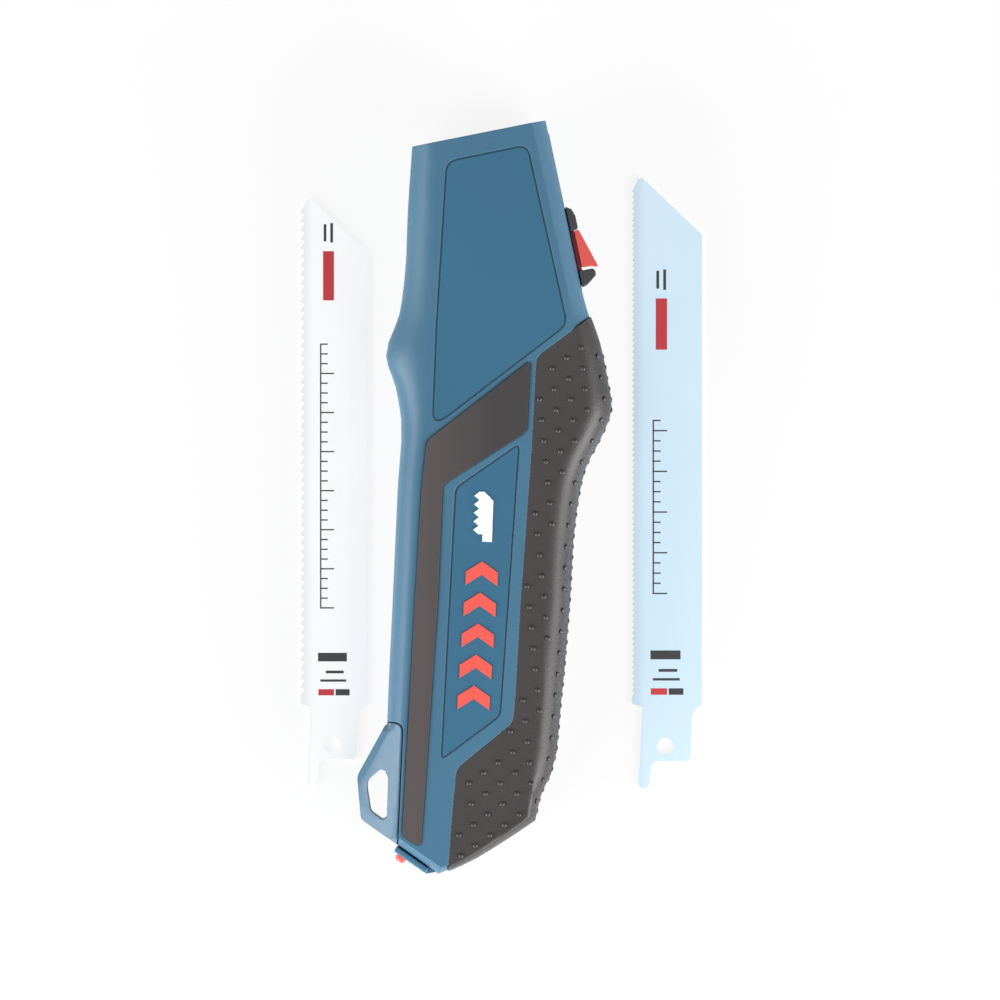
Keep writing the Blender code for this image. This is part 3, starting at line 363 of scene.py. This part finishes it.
def ground_steel(name, colour, metallic, roughness, turn, teeth=None):
    """Steel ground along a line turned from Y by degrees; teeth is a place on a tooth line."""
    finish = Finish(bpy.data.materials.new(name), "Principled BSDF", {"Metallic": metallic})
    corner = (*(teeth or (0.0, 0.0)), 0.0)
    rotation = (0.0, 0.0, math.radians(turn))
    sockets = {"Vector": finish.place(), "Location": corner, "Rotation": rotation}
    local = finish.node("ShaderNodeMapping", {"vector_type": "TEXTURE"}, sockets, "Vector")
    stretch = finish.node("ShaderNodeMapping", {}, {"Vector": local, "Scale": GRIND}, "Vector")
    sockets = {"Vector": stretch, "Scale": 1.0, "Detail": 3.0}
    mark = finish.node("ShaderNodeTexNoise", {}, sockets, "Fac")
    cloud = finish.noise(SHEEN_SIZE)
    body = finish.blend(0.5 * mark + 0.5 * cloud, toned(colour, 0.95), toned(colour, 1.04))
    if teeth:
        thin = finish.ramp(finish.across(local), THIN_START, THIN_END, 0.5, 0.0)
        body = finish.blend(thin * (0.6 + 0.8 * mark), body, toned(colour, 0.72))
    finish.feed("Base Color", body)
    finish.feed("Roughness", roughness - 0.06 + 0.12 * mark)
    sockets = {"Height": mark, "Strength": 1.0, "Distance": GRIND_DEEP}
    finish.feed("Normal", finish.node("ShaderNodeBump", {}, sockets))
    return finish.owner


def blade_shoulder(across, along):
    """Where a blade's shoulder lies, in millimetres; the blades are upright in the picture."""
    turn = Matrix.Rotation(math.radians(PICTURE_TURN), 4, "Z")
    return Matrix.Translation((across * MM, along * MM, 0.0)) @ turn


METAL_SHOULDER = blade_shoulder(42.8, -49.0)
WOOD_SHOULDER = blade_shoulder(-39.0, -51.9)
METAL_SIZE, WOOD_SIZE = 1.0, 0.96
BLADE_HALF = 8.6 * MM
SPINE_LEAN = 14.0
metal_teeth = tuple((METAL_SHOULDER @ Vector((-METAL_SIZE * BLADE_HALF, 0.0, 0.0))).xy)
wood_teeth = tuple((WOOD_SHOULDER @ Vector((-WOOD_SIZE * BLADE_HALF, 0.0, 0.0))).xy)
SKY, SNOW, GREY = (0.625, 0.79, 0.905), (0.925, 0.93, 0.935), (0.55, 0.55, 0.57)
PALE_BLUE = ground_steel("pale_blue_lacquer", SKY, 0.85, 0.38, PICTURE_TURN, metal_teeth)
WHITE = ground_steel("white_lacquer", SNOW, 0.85, 0.38, PICTURE_TURN, wood_teeth)
STEEL = ground_steel("plain_steel", GREY, 1.0, 0.34, SPINE_LEAN)
print("steels made")

# %% [markdown]
# The solids arrive as loose flat triangles. For each moulded piece, a copy of the solid is welded,
# flat triangles are dissolved into whole faces, steep edges are marked sharp, and the shallow
# facets between them are shaded as one curve. Weighted normals let the large faces keep their own
# direction, so that flats stay flat right up to the curve.

# %% Moulded pieces
WELD = 0.002 * MM
FLAT = math.radians(0.3)


def take(piece):
    """Make one object the only selected and active one."""
    bpy.ops.object.select_all(action="DESELECT")
    piece.select_set(True)
    bpy.context.view_layer.objects.active = piece


def moulding(node, finish, body, angle=32, reshape=None):
    """Welded and smoothly shaded copy of a solid, which takes its place.

    Edges steeper than the angle, in degrees, stay sharp.  Reshape may change the copy in edit mode.
    """
    take(frame["nodes"][node])
    bpy.ops.object.duplicate()
    copy = bpy.context.object
    copy.name = node + "_moulding"
    del copy["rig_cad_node"]
    bpy.ops.object.mode_set(mode="EDIT")
    bpy.ops.mesh.select_all(action="SELECT")
    bpy.ops.mesh.remove_doubles(threshold=WELD)
    bpy.ops.mesh.dissolve_limited(angle_limit=FLAT)
    if reshape:
        reshape(copy)
    bpy.ops.mesh.select_mode(type="EDGE")
    bpy.ops.mesh.select_all(action="DESELECT")
    bpy.ops.mesh.edges_select_sharp(sharpness=math.radians(angle))
    bpy.ops.mesh.mark_sharp()
    bpy.ops.object.mode_set(mode="OBJECT")
    bpy.ops.object.shade_smooth()
    bpy.ops.object.modifier_add(type="WEIGHTED_NORMAL")
    weighted = copy.modifiers[-1]
    weighted.keep_sharp = True
    weighted.weight = 100
    bpy.ops.object.modifier_apply(modifier=weighted.name)
    copy.data.materials.clear()
    copy.data.materials.append(finish)
    bpy.ops.object.parent_clear(type="CLEAR_KEEP_TRANSFORM")
    if body:
        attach(copy, body)
    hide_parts(node)
    return copy


shells = [moulding(node, BLUE, "handle", 25) for node in ("near_shell", "far_shell")]
near_grip = moulding("near_grip", RUBBER, "handle")
far_grip = moulding("far_grip", RUBBER, "handle")
inlays = [moulding(node, INLAY, "handle") for node in ("near_inlay", "far_inlay")]
moulding("spine_rail", BLACK, "handle")
moulding("mouth_guide", NAVY, "handle")
slider = moulding("release_slider", BLACK, "slider")
moulding("release_button", RED, "button")
moulding("tail_door", NAVY, "door")
moulding("door_tab", RED, "door")
moulding("metal_blade", PALE_BLUE, "metal_cutting_blade")
moulding("wood_metal_blade", WHITE, "wood_cutting_blade")
print("faces on the near shell:", len(shells[0].data.polygons))

# %% [markdown]
# The hang loop is a wedge with an eye in it. Its flats fall evenly from the joint line to the
# outer rim, so no step shows beside the handle, and a wide bevel breaks its upper edge. The
# solid's wedge is thinner and leaves a step. In the copy, two bisecting planes mark where the bevel
# starts and where the slope begins. What lies under the slope is lifted to it, and the bevel is
# let down.

# %% Hang loop
SLOPE_TOP = (-22.35 * MM, 14.65 * MM)
SLOPE = 0.85
WEDGE_TOP = (-21.0 * MM, 11.0 * MM)
WEDGE_SLOPE = 6.8 / 13.0
WEDGE_SLACK = 0.3 * MM
RIM_BREAK = 0.02 * MM
LOOP_START = -55.6 * MM
LOOP_EASE = 1.9 * MM
BEVEL_START = Vector((-24.57, -56.42, 0.0)) * MM
BEVEL_WAY = Vector((-0.89, 0.45, 0.0))
BEVEL_SLOPE = 0.8
BENT = math.radians(2)
NEARLY_FLAT = math.radians(1.5)


def even_slope(piece):
    """Lift the flats of the loop to one slope and let the bevel down."""
    ease_end = (0.0, LOOP_START - LOOP_EASE, 0.0)
    for spot, way in ((BEVEL_START, BEVEL_WAY), (ease_end, (0.0, 1.0, 0.0))):
        bpy.ops.mesh.select_all(action="SELECT")
        bpy.ops.mesh.bisect(plane_co=spot, plane_no=way)
    mesh = bmesh.from_edit_mesh(piece.data)
    lifted = 0
    for vertex in mesh.verts:
        place = vertex.co
        rise = abs(place.z - SEAM_HEIGHT)
        wedge = WEDGE_TOP[1] + WEDGE_SLOPE * (place.x - WEDGE_TOP[0])
        slope = SLOPE_TOP[1] + SLOPE * (place.x - SLOPE_TOP[0])
        if place.x < SLOPE_TOP[0] and wedge - WEDGE_SLACK < rise < slope:
            drop = BEVEL_SLOPE * max(0.0, (place - BEVEL_START).dot(BEVEL_WAY))
            ease = min(1.0, max(0.0, (LOOP_START - place.y) / LOOP_EASE))
            target = slope + max(-RIM_BREAK, min(0.0, rise - wedge)) - drop
            rise += ease * (target - rise)
            place.z = SEAM_HEIGHT + math.copysign(rise, place.z - SEAM_HEIGHT)
            lifted += 1
    bmesh.update_edit_mesh(piece.data)
    bpy.ops.mesh.select_all(action="SELECT")
    bpy.ops.mesh.vert_connect_nonplanar(angle_limit=BENT)
    bpy.ops.mesh.dissolve_limited(angle_limit=NEARLY_FLAT)
    print("loop corners lifted:", lifted)


moulding("hang_loop", GLOSSY_BLUE, "handle", 18, even_slope)

# %% [markdown]
# The thumb slider is black, and red shows at its waist, on both sides under the button. A separate
# red piece would need its own seat. The waist has its own two flat faces, so it is enough to give
# the slider a second finish and to pick those faces by their height over the seam.

# %% Slider waist
WAIST_RISE = 4.8 * MM
WAIST_SLACK = 0.05 * MM
NEARLY_LEVEL = 0.99

slider.data.materials.append(RED)
for face in slider.data.polygons:
    off_waist = abs(abs(face.center.z - SEAM_HEIGHT) - WAIST_RISE)
    if abs(face.normal.z) > NEARLY_LEVEL and off_waist < WAIST_SLACK:
        face.material_index = 1
print("red waist faces:", sum(face.material_index for face in slider.data.polygons))

# %% [markdown]
# The panel lines on the flanks are fine grooves, darker than the flank. Their floors lie half a
# millimetre under it in the solids, so faces between the flank and that depth are picked by place.
# They get a darker blue of their own, which is painted shade in the grooves, and the floors are
# lifted, because a groove that deep would look black. The panels inside the lines are the two
# largest flats, a little duller than the rest, and their deeper blue is painted shade for the sheen
# that the rim round them catches.

# %% Panels and their lines
FLANK_RISE = 15.0 * MM
FLANK_SLACK = 0.02 * MM
GROOVE_DEEP = 0.5 * MM
GROOVE_LOW = FLANK_RISE - 1.1 * GROOVE_DEEP
GROOVE_HIGH = FLANK_RISE - 0.05 * MM
FLOOR_LIFT = 0.36 * MM
PANEL_AREA = 850 * MM * MM
UPRIGHT, SQUARE_ON = 0.02, 0.999

for shell, side in zip(shells, (1, -1)):
    # Slot 1 is the grooves' painted shade.
    shell.data.materials.append(GROOVE_SHADE_BLUE)
    shell.data.materials.append(PANEL_SHADE_BLUE)
    dark = 0
    for face in shell.data.polygons:
        rise = abs(face.center.z - SEAM_HEIGHT)
        tilt = abs(face.normal.z)
        if GROOVE_LOW < rise < GROOVE_HIGH and (tilt < UPRIGHT or tilt > SQUARE_ON):
            face.material_index = 1
            dark += 1
        # Slot 2, the panels' deeper blue, is painted shade.
        if abs(rise - FLANK_RISE) < FLANK_SLACK and face.area > PANEL_AREA:
            face.material_index = 2
    take(shell)
    bpy.ops.object.mode_set(mode="EDIT")
    bpy.ops.mesh.select_mode(type="FACE")
    bpy.ops.mesh.select_all(action="DESELECT")
    mesh = bmesh.from_edit_mesh(shell.data)
    for face in mesh.faces:
        face.select_set(face.material_index == 1 and abs(face.normal.z) > SQUARE_ON)
    bmesh.update_edit_mesh(shell.data)
    bpy.ops.transform.translate(value=(0.0, 0.0, side * FLOOR_LIFT))
    bpy.ops.object.mode_set(mode="OBJECT")
    print(shell.name, "groove faces:", dark)

# %% [markdown]
# The grips and inlays are moulded straight into their beds, so hardly a gap shows round them. Each
# of their upright walls is pushed out by most of the gap that the solids leave. The corners beside
# the tail door's hinge never move towards the door, because the open door passes close to them.

# %% Moulded-in edges
HINGE_ROOM = -88 * MM
WALL_TILT = 0.05
BED_GAP = 0.11 * MM


def pushed_out(piece, distance):
    """Move the upright walls of a piece outwards, level with the floor."""
    take(piece)
    bpy.ops.object.mode_set(mode="EDIT")
    mesh = bmesh.from_edit_mesh(piece.data)
    moves = {}
    for vertex in mesh.verts:
        normals = [face.normal for face in vertex.link_faces]
        walls = [normal.to_2d() for normal in normals if abs(normal.z) < WALL_TILT]
        if walls:
            move = distance * sum(walls, Vector((0.0, 0.0))).normalized()
            if vertex.co.y <= HINGE_ROOM:
                move.y = max(move.y, 0.0)
            moves[vertex] = move
    for vertex, move in moves.items():
        vertex.co.xy += move
    bmesh.update_edit_mesh(piece.data)
    bpy.ops.object.mode_set(mode="OBJECT")
    return len(moves)


for pad in (near_grip, far_grip, *inlays):
    print(pad.name, "wall corners moved:", pushed_out(pad, BED_GAP))

# %% [markdown]
# Rubber nubs stand in slanting rows on the grip, and keep a wet hand from sliding. They are part
# of the rubber's mould. Their tops are as high as the solid's flat, so the flat is first let down
# by their height.

# %% Room for the nubs
def pick(piece, wanted):
    """Go into edit mode with only the vertices selected whose place is wanted."""
    take(piece)
    bpy.ops.object.mode_set(mode="EDIT")
    bpy.ops.mesh.select_mode(type="VERT")
    bpy.ops.mesh.select_all(action="DESELECT")
    mesh = bmesh.from_edit_mesh(piece.data)
    for vertex in mesh.verts:
        vertex.select_set(wanted(vertex.co))
    mesh.select_flush_mode()
    bmesh.update_edit_mesh(piece.data)


NUB_WIDE = 0.65 * MM
NUB_HIGH = 0.3 * MM
PAD_START = 0.2 * MM

for grip, side in ((near_grip, 1), (far_grip, -1)):
    pick(grip, lambda place: side * (place.z - SEAM_HEIGHT) > FLANK_RISE + PAD_START)
    bpy.ops.transform.translate(value=(0.0, 0.0, -side * NUB_HIGH))
    bpy.ops.object.mode_set(mode="OBJECT")
print("flats let down by", NUB_HIGH / MM, "mm")

# %% [markdown]
# One nub is a small sphere, cut a little under its middle and pressed flatter. Eight sides are
# enough for a piece that is repeated hundreds of times.

# %% One nub
NUB_ROOT = (0.0, 0.0, -0.2 * NUB_WIDE)

bpy.ops.object.select_all(action="DESELECT")
bpy.ops.mesh.primitive_uv_sphere_add(
    segments=8, ring_count=6, radius=NUB_WIDE, location=(0.0, 0.0, 0.0))
nub = bpy.context.object
bpy.ops.object.mode_set(mode="EDIT")
bpy.ops.mesh.select_all(action="SELECT")
bpy.ops.mesh.bisect(plane_co=NUB_ROOT, plane_no=(0.0, 0.0, 1.0), clear_inner=True)
bpy.ops.mesh.select_all(action="SELECT")
bpy.ops.transform.resize(value=(1.0, 1.0, NUB_HIGH / NUB_WIDE))
bpy.ops.object.mode_set(mode="OBJECT")
bpy.ops.object.shade_smooth()
print("faces on a nub:", len(nub.data.polygons))

# %% [markdown]
# The rows on the flat follow one slanting lattice. Each lattice point is dropped onto the grip,
# and it counts only if the rubber goes on a little way all round it. On the rounded side, rows run
# along the outline, found by looking at the grip from the side.

# %% Where nubs stand
FIRST_NUB = Vector((8.80, 24.89)) * MM
DOWN_A_ROW = 5.1 * Vector((0.134, -0.991)) * MM
NEXT_ROW = Vector((3.45, 2.64)) * MM
ROWS, STEPS = range(-14, 16), range(-12, 30)
SIDE_ROWS = ((12.4, 36.0), (7.2, 33.4), (2.0, 36.0))
SIDE_STEPS, SIDE_STEP = range(22), 5.2
SUNK_UNDER, NUB_SINK = 12.0, 0.6 * NUB_HIGH
FROM_ABOVE, FROM_SIDE = 40 * MM, 60 * MM
FLAT_FACING, SIDE_FACING = 0.9, 0.3
NUB_CLEAR = 1.25 * MM
MOST_FALL = 2.2 * MM


def stands(grip, start, heading, least):
    """Where a line meets the rubber, if the rubber goes on all round and faces the line enough."""
    hit, place, normal, _ = grip.ray_cast(start, heading)
    if not hit or -normal.dot(heading) < least:
        return None
    side = heading.orthogonal().normalized()
    for step in range(8):
        turn = Matrix.Rotation(step * math.pi / 4, 3, heading)
        near, spot, _, _ = grip.ray_cast(start + NUB_CLEAR * (turn @ side), heading)
        if not near or abs((spot - place).dot(heading)) > MOST_FALL:
            return None
    return place, normal


def nub_places(grip, side):
    """Places and directions of the nubs on one grip; the lower side rows are sunk in a little."""
    found = []
    for row in ROWS:
        for step in STEPS:
            spot = FIRST_NUB + step * DOWN_A_ROW + row * NEXT_ROW
            start = Vector((*spot, SEAM_HEIGHT + side * FROM_ABOVE))
            found.append(stands(grip, start, Vector((0.0, 0.0, -side)), FLAT_FACING))
    for rise, first in SIDE_ROWS:
        for step in SIDE_STEPS:
            along = (first - SIDE_STEP * step) * MM
            start = Vector((FROM_SIDE, along, SEAM_HEIGHT + side * rise * MM))
            spot = stands(grip, start, Vector((-1.0, 0.0, 0.0)), SIDE_FACING)
            if spot and rise < SUNK_UNDER:
                spot = (spot[0] - NUB_SINK * spot[1], spot[1])
            found.append(spot)
    return [spot for spot in found if spot]


print("lattice points to try:", len(ROWS) * len(STEPS))

# %% [markdown]
# A copy of the nub goes to every place, turned to stand on the rubber. The nubs are one moulding
# with their grip, so the copies on each grip are joined into a single piece, which is also easier
# to handle than hundreds of small ones.

# %% Nubs on both grips
def copied(piece, place, normal):
    """Copy of a piece with its own mesh, set on a place and turned to a direction."""
    copy = piece.copy()
    copy.data = piece.data.copy()
    turn = Vector((0.0, 0.0, 1.0)).rotation_difference(normal).to_matrix().to_4x4()
    copy.data.transform(Matrix.Translation(place) @ turn)
    bpy.context.scene.collection.objects.link(copy)
    return copy


def joined(pieces, name, finish, body):
    """One piece from several, with its finish, riding on a body."""
    take(pieces[0])
    for piece in pieces[1:]:
        piece.select_set(True)
    bpy.ops.object.join()
    whole = bpy.context.object
    whole.name = name
    whole.data.materials.clear()
    whole.data.materials.append(finish)
    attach(whole, body)


bpy.context.view_layer.update()
for grip, side, word in ((near_grip, 1, "near"), (far_grip, -1, "far")):
    spots = nub_places(grip, side)
    nubs = [copied(nub, place, normal) for place, normal in spots]
    joined(nubs, word + "_grip_nubs", NUB_RUBBER, "handle")
    print(word, "grip carries", len(spots), "nubs")
bpy.data.objects.remove(nub, do_unlink=True)

# %% [markdown]
# The near flank's label field carries a motif in raised red, here five plain chevrons that point
# to the blade. A chevron is a small plane cut in two, its middle drawn forward, and then extruded
# to its height.

# %% Chevrons
def raised(piece, high):
    """Give a flat piece its height."""
    take(piece)
    bpy.ops.object.mode_set(mode="EDIT")
    bpy.ops.mesh.select_all(action="SELECT")
    bpy.ops.mesh.extrude_region_move(TRANSFORM_OT_translate={"value": (0.0, 0.0, high)})
    bpy.ops.mesh.select_all(action="SELECT")
    bpy.ops.mesh.normals_make_consistent(inside=False)
    bpy.ops.object.mode_set(mode="OBJECT")


def flat_plane(wide, long, cuts):
    """Plane of a size, cut into strips across its width and length."""
    bpy.ops.object.select_all(action="DESELECT")
    bpy.ops.mesh.primitive_plane_add(size=1.0, location=(0.0, 0.0, 0.0))
    plane = bpy.context.object
    bpy.ops.object.mode_set(mode="EDIT")
    bpy.ops.mesh.select_all(action="SELECT")
    if cuts:
        bpy.ops.mesh.subdivide(number_cuts=cuts)
    bpy.ops.transform.resize(value=(wide, long, 1.0))
    bpy.ops.object.mode_set(mode="OBJECT")
    return plane


LABEL_RED = moulded_plastic("label_red", (0.70, 0.085, 0.065), (0.8, 0.2, 0.16), 0.45, 0.1, 0.02)
MOTIF_MIDDLE = Vector((-4.23, -33.27)) * MM
MOTIF_TURN = math.radians(-1.7)
CHEVRON_WIDE, CHEVRON_LONG = 7.8 * MM, 3.3 * MM
CHEVRON_POINT = 2.6 * MM
CHEVRON_STEP = 7.6 * MM
PICK_SLACK = 0.1 * MM
MARK_HIGH = 0.2 * MM
MARK_SUNK = 0.05 * MM
MARK_BED = SEAM_HEIGHT + FLANK_RISE - MARK_SUNK

chevron = flat_plane(CHEVRON_WIDE, CHEVRON_LONG, 1)
pick(chevron, lambda place: abs(place.x) < PICK_SLACK)
bpy.ops.transform.translate(value=(0.0, CHEVRON_POINT, 0.0))
bpy.ops.object.mode_set(mode="OBJECT")
raised(chevron, MARK_HIGH + MARK_SUNK)
chevrons = []
for step in range(5):
    along = Vector((0.0, (step - 2) * CHEVRON_STEP - 0.5 * CHEVRON_POINT))
    spot = Matrix.Rotation(MOTIF_TURN, 2) @ along + MOTIF_MIDDLE
    chevrons.append(copied(chevron, Vector((*spot, MARK_BED)), Vector((0.0, 0.0, 1.0))))
bpy.data.objects.remove(chevron, do_unlink=True)
print("chevrons:", len(chevrons))
joined(chevrons, "near_chevrons", LABEL_RED, "handle")

# %% [markdown]
# Above the chevrons sits a white pictogram, a short length of saw blade. It starts as a plane cut
# into strips: every second point of one edge is drawn out into a tooth, part of one end is
# extruded as the shank, and the other end is cut off on a slope.

# %% Pictogram
LABEL_WHITE = moulded_plastic("label_white", (0.80, 0.84, 0.86), (0.9, 0.9, 0.9), 0.45, 0.1, 0.02)
PICTOGRAM_MIDDLE = Vector((-3.32, -3.31)) * MM
PICTOGRAM_WIDE, PICTOGRAM_LONG = 3.4 * MM, 10.4 * MM
STRIPS = 10
TOOTH = 1.3 * MM
SHANK_SIDE, SHANK_LONG = -0.7 * MM, 1.8 * MM
NOSE_START = (0.5 * PICTOGRAM_WIDE, 3.0 * MM, 0.0)
NOSE_WAY = (0.7, 0.7, 0.0)
left = -0.5 * PICTOGRAM_WIDE + PICK_SLACK
foot = -0.5 * PICTOGRAM_LONG


def strip_number(place):
    """How many strips from the shank a place lies."""
    return round((place.y - foot) * STRIPS / PICTOGRAM_LONG)


picture = flat_plane(PICTOGRAM_WIDE, PICTOGRAM_LONG, STRIPS - 1)
pick(picture, lambda place: place.x < left and strip_number(place) % 2 == 1)
bpy.ops.transform.translate(value=(-TOOTH, 0.0, 0.0))
bpy.ops.object.mode_set(mode="OBJECT")
pick(picture, lambda place: place.y < foot + PICK_SLACK and place.x > SHANK_SIDE)
bpy.ops.mesh.extrude_region_move(TRANSFORM_OT_translate={"value": (0.0, -SHANK_LONG, 0.0)})
bpy.ops.mesh.select_all(action="SELECT")
bpy.ops.mesh.bisect(plane_co=NOSE_START, plane_no=NOSE_WAY, clear_outer=True)
bpy.ops.object.mode_set(mode="OBJECT")
raised(picture, MARK_HIGH + MARK_SUNK)
picture.data.transform(Matrix.Translation((*PICTOGRAM_MIDDLE, MARK_BED)))
joined([picture], "near_pictogram", LABEL_WHITE, "handle")
print("faces on the pictogram:", len(picture.data.polygons))

# %% [markdown]
# The blades are printed with plain marks: a red bar, two small dashes, a length scale, and a block
# of bars by the shank where such blades carry their data. Each mark is a thin plane laid on the
# lacquer.

# %% Blade prints
INK_BLACK = moulded_plastic("black_ink", (0.03, 0.032, 0.035), (0.08, 0.08, 0.08), 0.5, 0.02, 0.005)
INK_RED = moulded_plastic("red_ink", (0.62, 0.05, 0.06), (0.7, 0.15, 0.15), 0.5, 0.02, 0.005)
BLADE_TOP = 0.9 * MM
INK_HIGH = 0.02 * MM
SCALE_EDGE, SCALE_STEP, SCALE_LINE = -3.4, 2.5, 0.35
LONG_MARK, SHORT_MARK = 3.4, 1.8


def printed(shoulder, size, bars, name, finish, body):
    """Bars given by middle, width and length in millimetres from a blade's shoulder, laid on it."""
    inks = []
    for across, along, wide, long in bars:
        bar = flat_plane(wide * size * MM, long * size * MM, 0)
        raised(bar, INK_HIGH)
        spot = Matrix.Translation((across * size * MM, along * size * MM, BLADE_TOP))
        bar.data.transform(shoulder @ spot)
        inks.append(bar)
    joined(inks, name, finish, body)


def scale_marks(start, end):
    """Bars of a length scale along the blade."""
    marks = [(SCALE_EDGE, 0.5 * (start + end), SCALE_LINE, end - start + SCALE_LINE)]
    for step in range(int((end - start) / SCALE_STEP) + 1):
        long = LONG_MARK if step % 4 == 0 else SHORT_MARK
        marks.append((SCALE_EDGE + 0.5 * long, start + SCALE_STEP * step, long, SCALE_LINE))
    return marks


black_data = [(-0.4, 12.4, 7.4, 2.2), (0.2, 8.6, 4.6, 0.7), (-0.2, 6.4, 6.6, 0.6)]
black_block, red_block = (2.2, 3.4, 3.6, 1.6), (-2.0, 3.4, 4.0, 1.6)
for word, shoulder, size, red_at, dash_at, scale in (
        ("metal", METAL_SHOULDER, METAL_SIZE, 93.7, 104.6, (27.5, 70.0)),
        ("wood", WOOD_SHOULDER, WOOD_SIZE, 110.0, 121.0, (25.0, 92.5))):
    body = word + "_cutting_blade"
    dashes = [(-0.6, dash_at, 0.7, 5.0), (-2.3, dash_at, 0.7, 4.4)]
    black = dashes + black_data + scale_marks(*scale) + [black_block]
    printed(shoulder, size, black, word + "_blade_black_print", INK_BLACK, body)
    red = [(-1.4, red_at, 2.8, 12.6), red_block]
    printed(shoulder, size, red, word + "_blade_red_print", INK_RED, body)
print("blades printed")

# %% [markdown]
# The shell screws are driven from the far flank. Each head has a six-sided recess for the driver,
# which is a short six-sided cylinder taken out of the head with a Boolean.

# %% Screw heads
DRIVER_HALF, DRIVER_LONG = 1.2 * MM, 1.6 * MM
DRIVER_SET = 0.3 * MM

bpy.ops.object.select_all(action="DESELECT")
bpy.ops.mesh.primitive_cylinder_add(
    vertices=6, radius=DRIVER_HALF, depth=DRIVER_LONG, location=(0.0, 0.0, 0.0))
driver = bpy.context.object
for number in range(1, 7):
    screw = moulding(f"shell_screw_{number}", STEEL, "handle", 40)
    low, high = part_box(f"shell_screw_{number}")
    driver.location = (0.5 * (low[0] + high[0]), 0.5 * (low[1] + high[1]), low[2] + DRIVER_SET)
    take(screw)
    bpy.ops.object.modifier_add(type="BOOLEAN")
    recess = screw.modifiers[-1]
    recess.operation = "DIFFERENCE"
    recess.solver = "EXACT"
    recess.object = driver
    bpy.ops.object.modifier_apply(modifier=recess.name)
bpy.data.objects.remove(driver, do_unlink=True)
print("screw recesses cut")

# %% [markdown]
# A thin strip of black foam on the tail door closes the gap to the shells. It is a cube pressed to
# size, with its edges bevelled, and set along the slope of the tail.

# %% Door seal
BAR_THICK = 0.12 * MM
BAR_BREAK = 0.03 * MM


def thin_bar(wide, long, high):
    """Thin bar with small bevels, its middle at the origin."""
    bpy.ops.object.select_all(action="DESELECT")
    bpy.ops.mesh.primitive_cube_add(size=1.0, location=(0.0, 0.0, 0.0))
    bar = bpy.context.object
    bpy.ops.object.mode_set(mode="EDIT")
    bpy.ops.mesh.select_all(action="SELECT")
    bpy.ops.transform.resize(value=(wide, long, high))
    bpy.ops.mesh.bevel(offset=BAR_BREAK, segments=1, affect="EDGES")
    bpy.ops.object.mode_set(mode="OBJECT")
    return bar


TAIL_CORNER = Vector((-22.3 * MM, -85.2 * MM, SEAM_HEIGHT))
TAIL_LEAN = math.radians(-33.0)
SEAL_LONG, SEAL_HIGH = 8.6 * MM, 20.0 * MM
SEAL_MIDDLE = Vector((4.9, -0.09, 0.0)) * MM

tail_turn = Matrix.Rotation(TAIL_LEAN, 4, "Z")
seal = thin_bar(SEAL_LONG, BAR_THICK, SEAL_HIGH)
middle = TAIL_CORNER + tail_turn @ SEAL_MIDDLE
seal.data.transform(Matrix.Translation(middle) @ tail_turn)
joined([seal], "door_seal", BLACK, "door")
print("seal laid")

# %% [markdown]
# The thumb slider has a low-friction strip under it, which takes up its play on the rail. The
# largest face that looks at the rail is the slider's underside, and the strip is another thin bar
# laid on it.

# %% Slider glide
GLIDE_HIGH = 11.0 * MM
GLIDE_SHORT = 0.2 * MM
GLIDE_SET = 0.07 * MM
BASE_SLACK = 0.02 * MM

lean = math.radians(SPINE_LEAN)
to_rail = Vector((-math.cos(lean), -math.sin(lean), 0.0))
slide_way = Vector((-math.sin(lean), math.cos(lean), 0.0))
facing_rail = [face for face in slider.data.polygons if face.normal.dot(to_rail) > SQUARE_ON]
base = max(facing_rail, key=lambda face: face.area).center.dot(to_rail)
corners = [vertex.co for vertex in slider.data.vertices]
on_base = [spot for spot in corners if abs(spot.dot(to_rail) - base) < BASE_SLACK]
ends = sorted(spot.dot(slide_way) for spot in on_base)
glide = thin_bar(BAR_THICK, ends[-1] - ends[0] - GLIDE_SHORT, GLIDE_HIGH)
middle = (base + GLIDE_SET) * to_rail + 0.5 * (ends[0] + ends[-1]) * slide_way
middle.z = SEAM_HEIGHT
glide.data.transform(Matrix.Translation(middle) @ Matrix.Rotation(lean, 4, "Z"))
joined([glide], "slider_glide", BLACK, "slider")
print("slider's underside in mm:", round((ends[-1] - ends[0]) / MM, 1))

# %% [markdown]
# The three springs are squeezed when the slider or the button moves. A coil that rode on one body
# alone would run into the other, so each coil rides on no body here, and only its length along the
# way it is squeezed is measured.

# %% Springs
def spring(node, way):
    """Steel coil that rides on no body, and its length along a direction."""
    coil = moulding(node, STEEL, None, 60)
    reach = sorted(vertex.co.dot(way) for vertex in coil.data.vertices)
    reach[0] * way
    reach[-1] * way
    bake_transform(coil)
    return reach[-1] - reach[0]


upwards = Vector((0.0, 0.0, 1.0))
for node, first, last, way in (
        ("lock_pin_spring", "handle", "pin", upwards),
        ("slider_spring", "slider", "handle", slide_way),
        ("button_spring", "slider", "button", -to_rail)):
    print(node, "in mm:", round(spring(node, way) / MM, 1))

# %% [markdown]
# What stays of the solids is seen only through the openings: the sleeve is black plastic, and the
# clamp and the pins are bare steel. Last, the boxes before and after dressing are put in one table.

# %% Inner pieces and finish
for name, solid in frame["nodes"].items():
    if not solid.hide_render:
        solid.data.materials.clear()
        solid.data.materials.append(BLACK if name == "magazine_sleeve" else STEEL)
size = {"cad": [list(corner) for corner in cad_box], "visual": [list(corner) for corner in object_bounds()]}
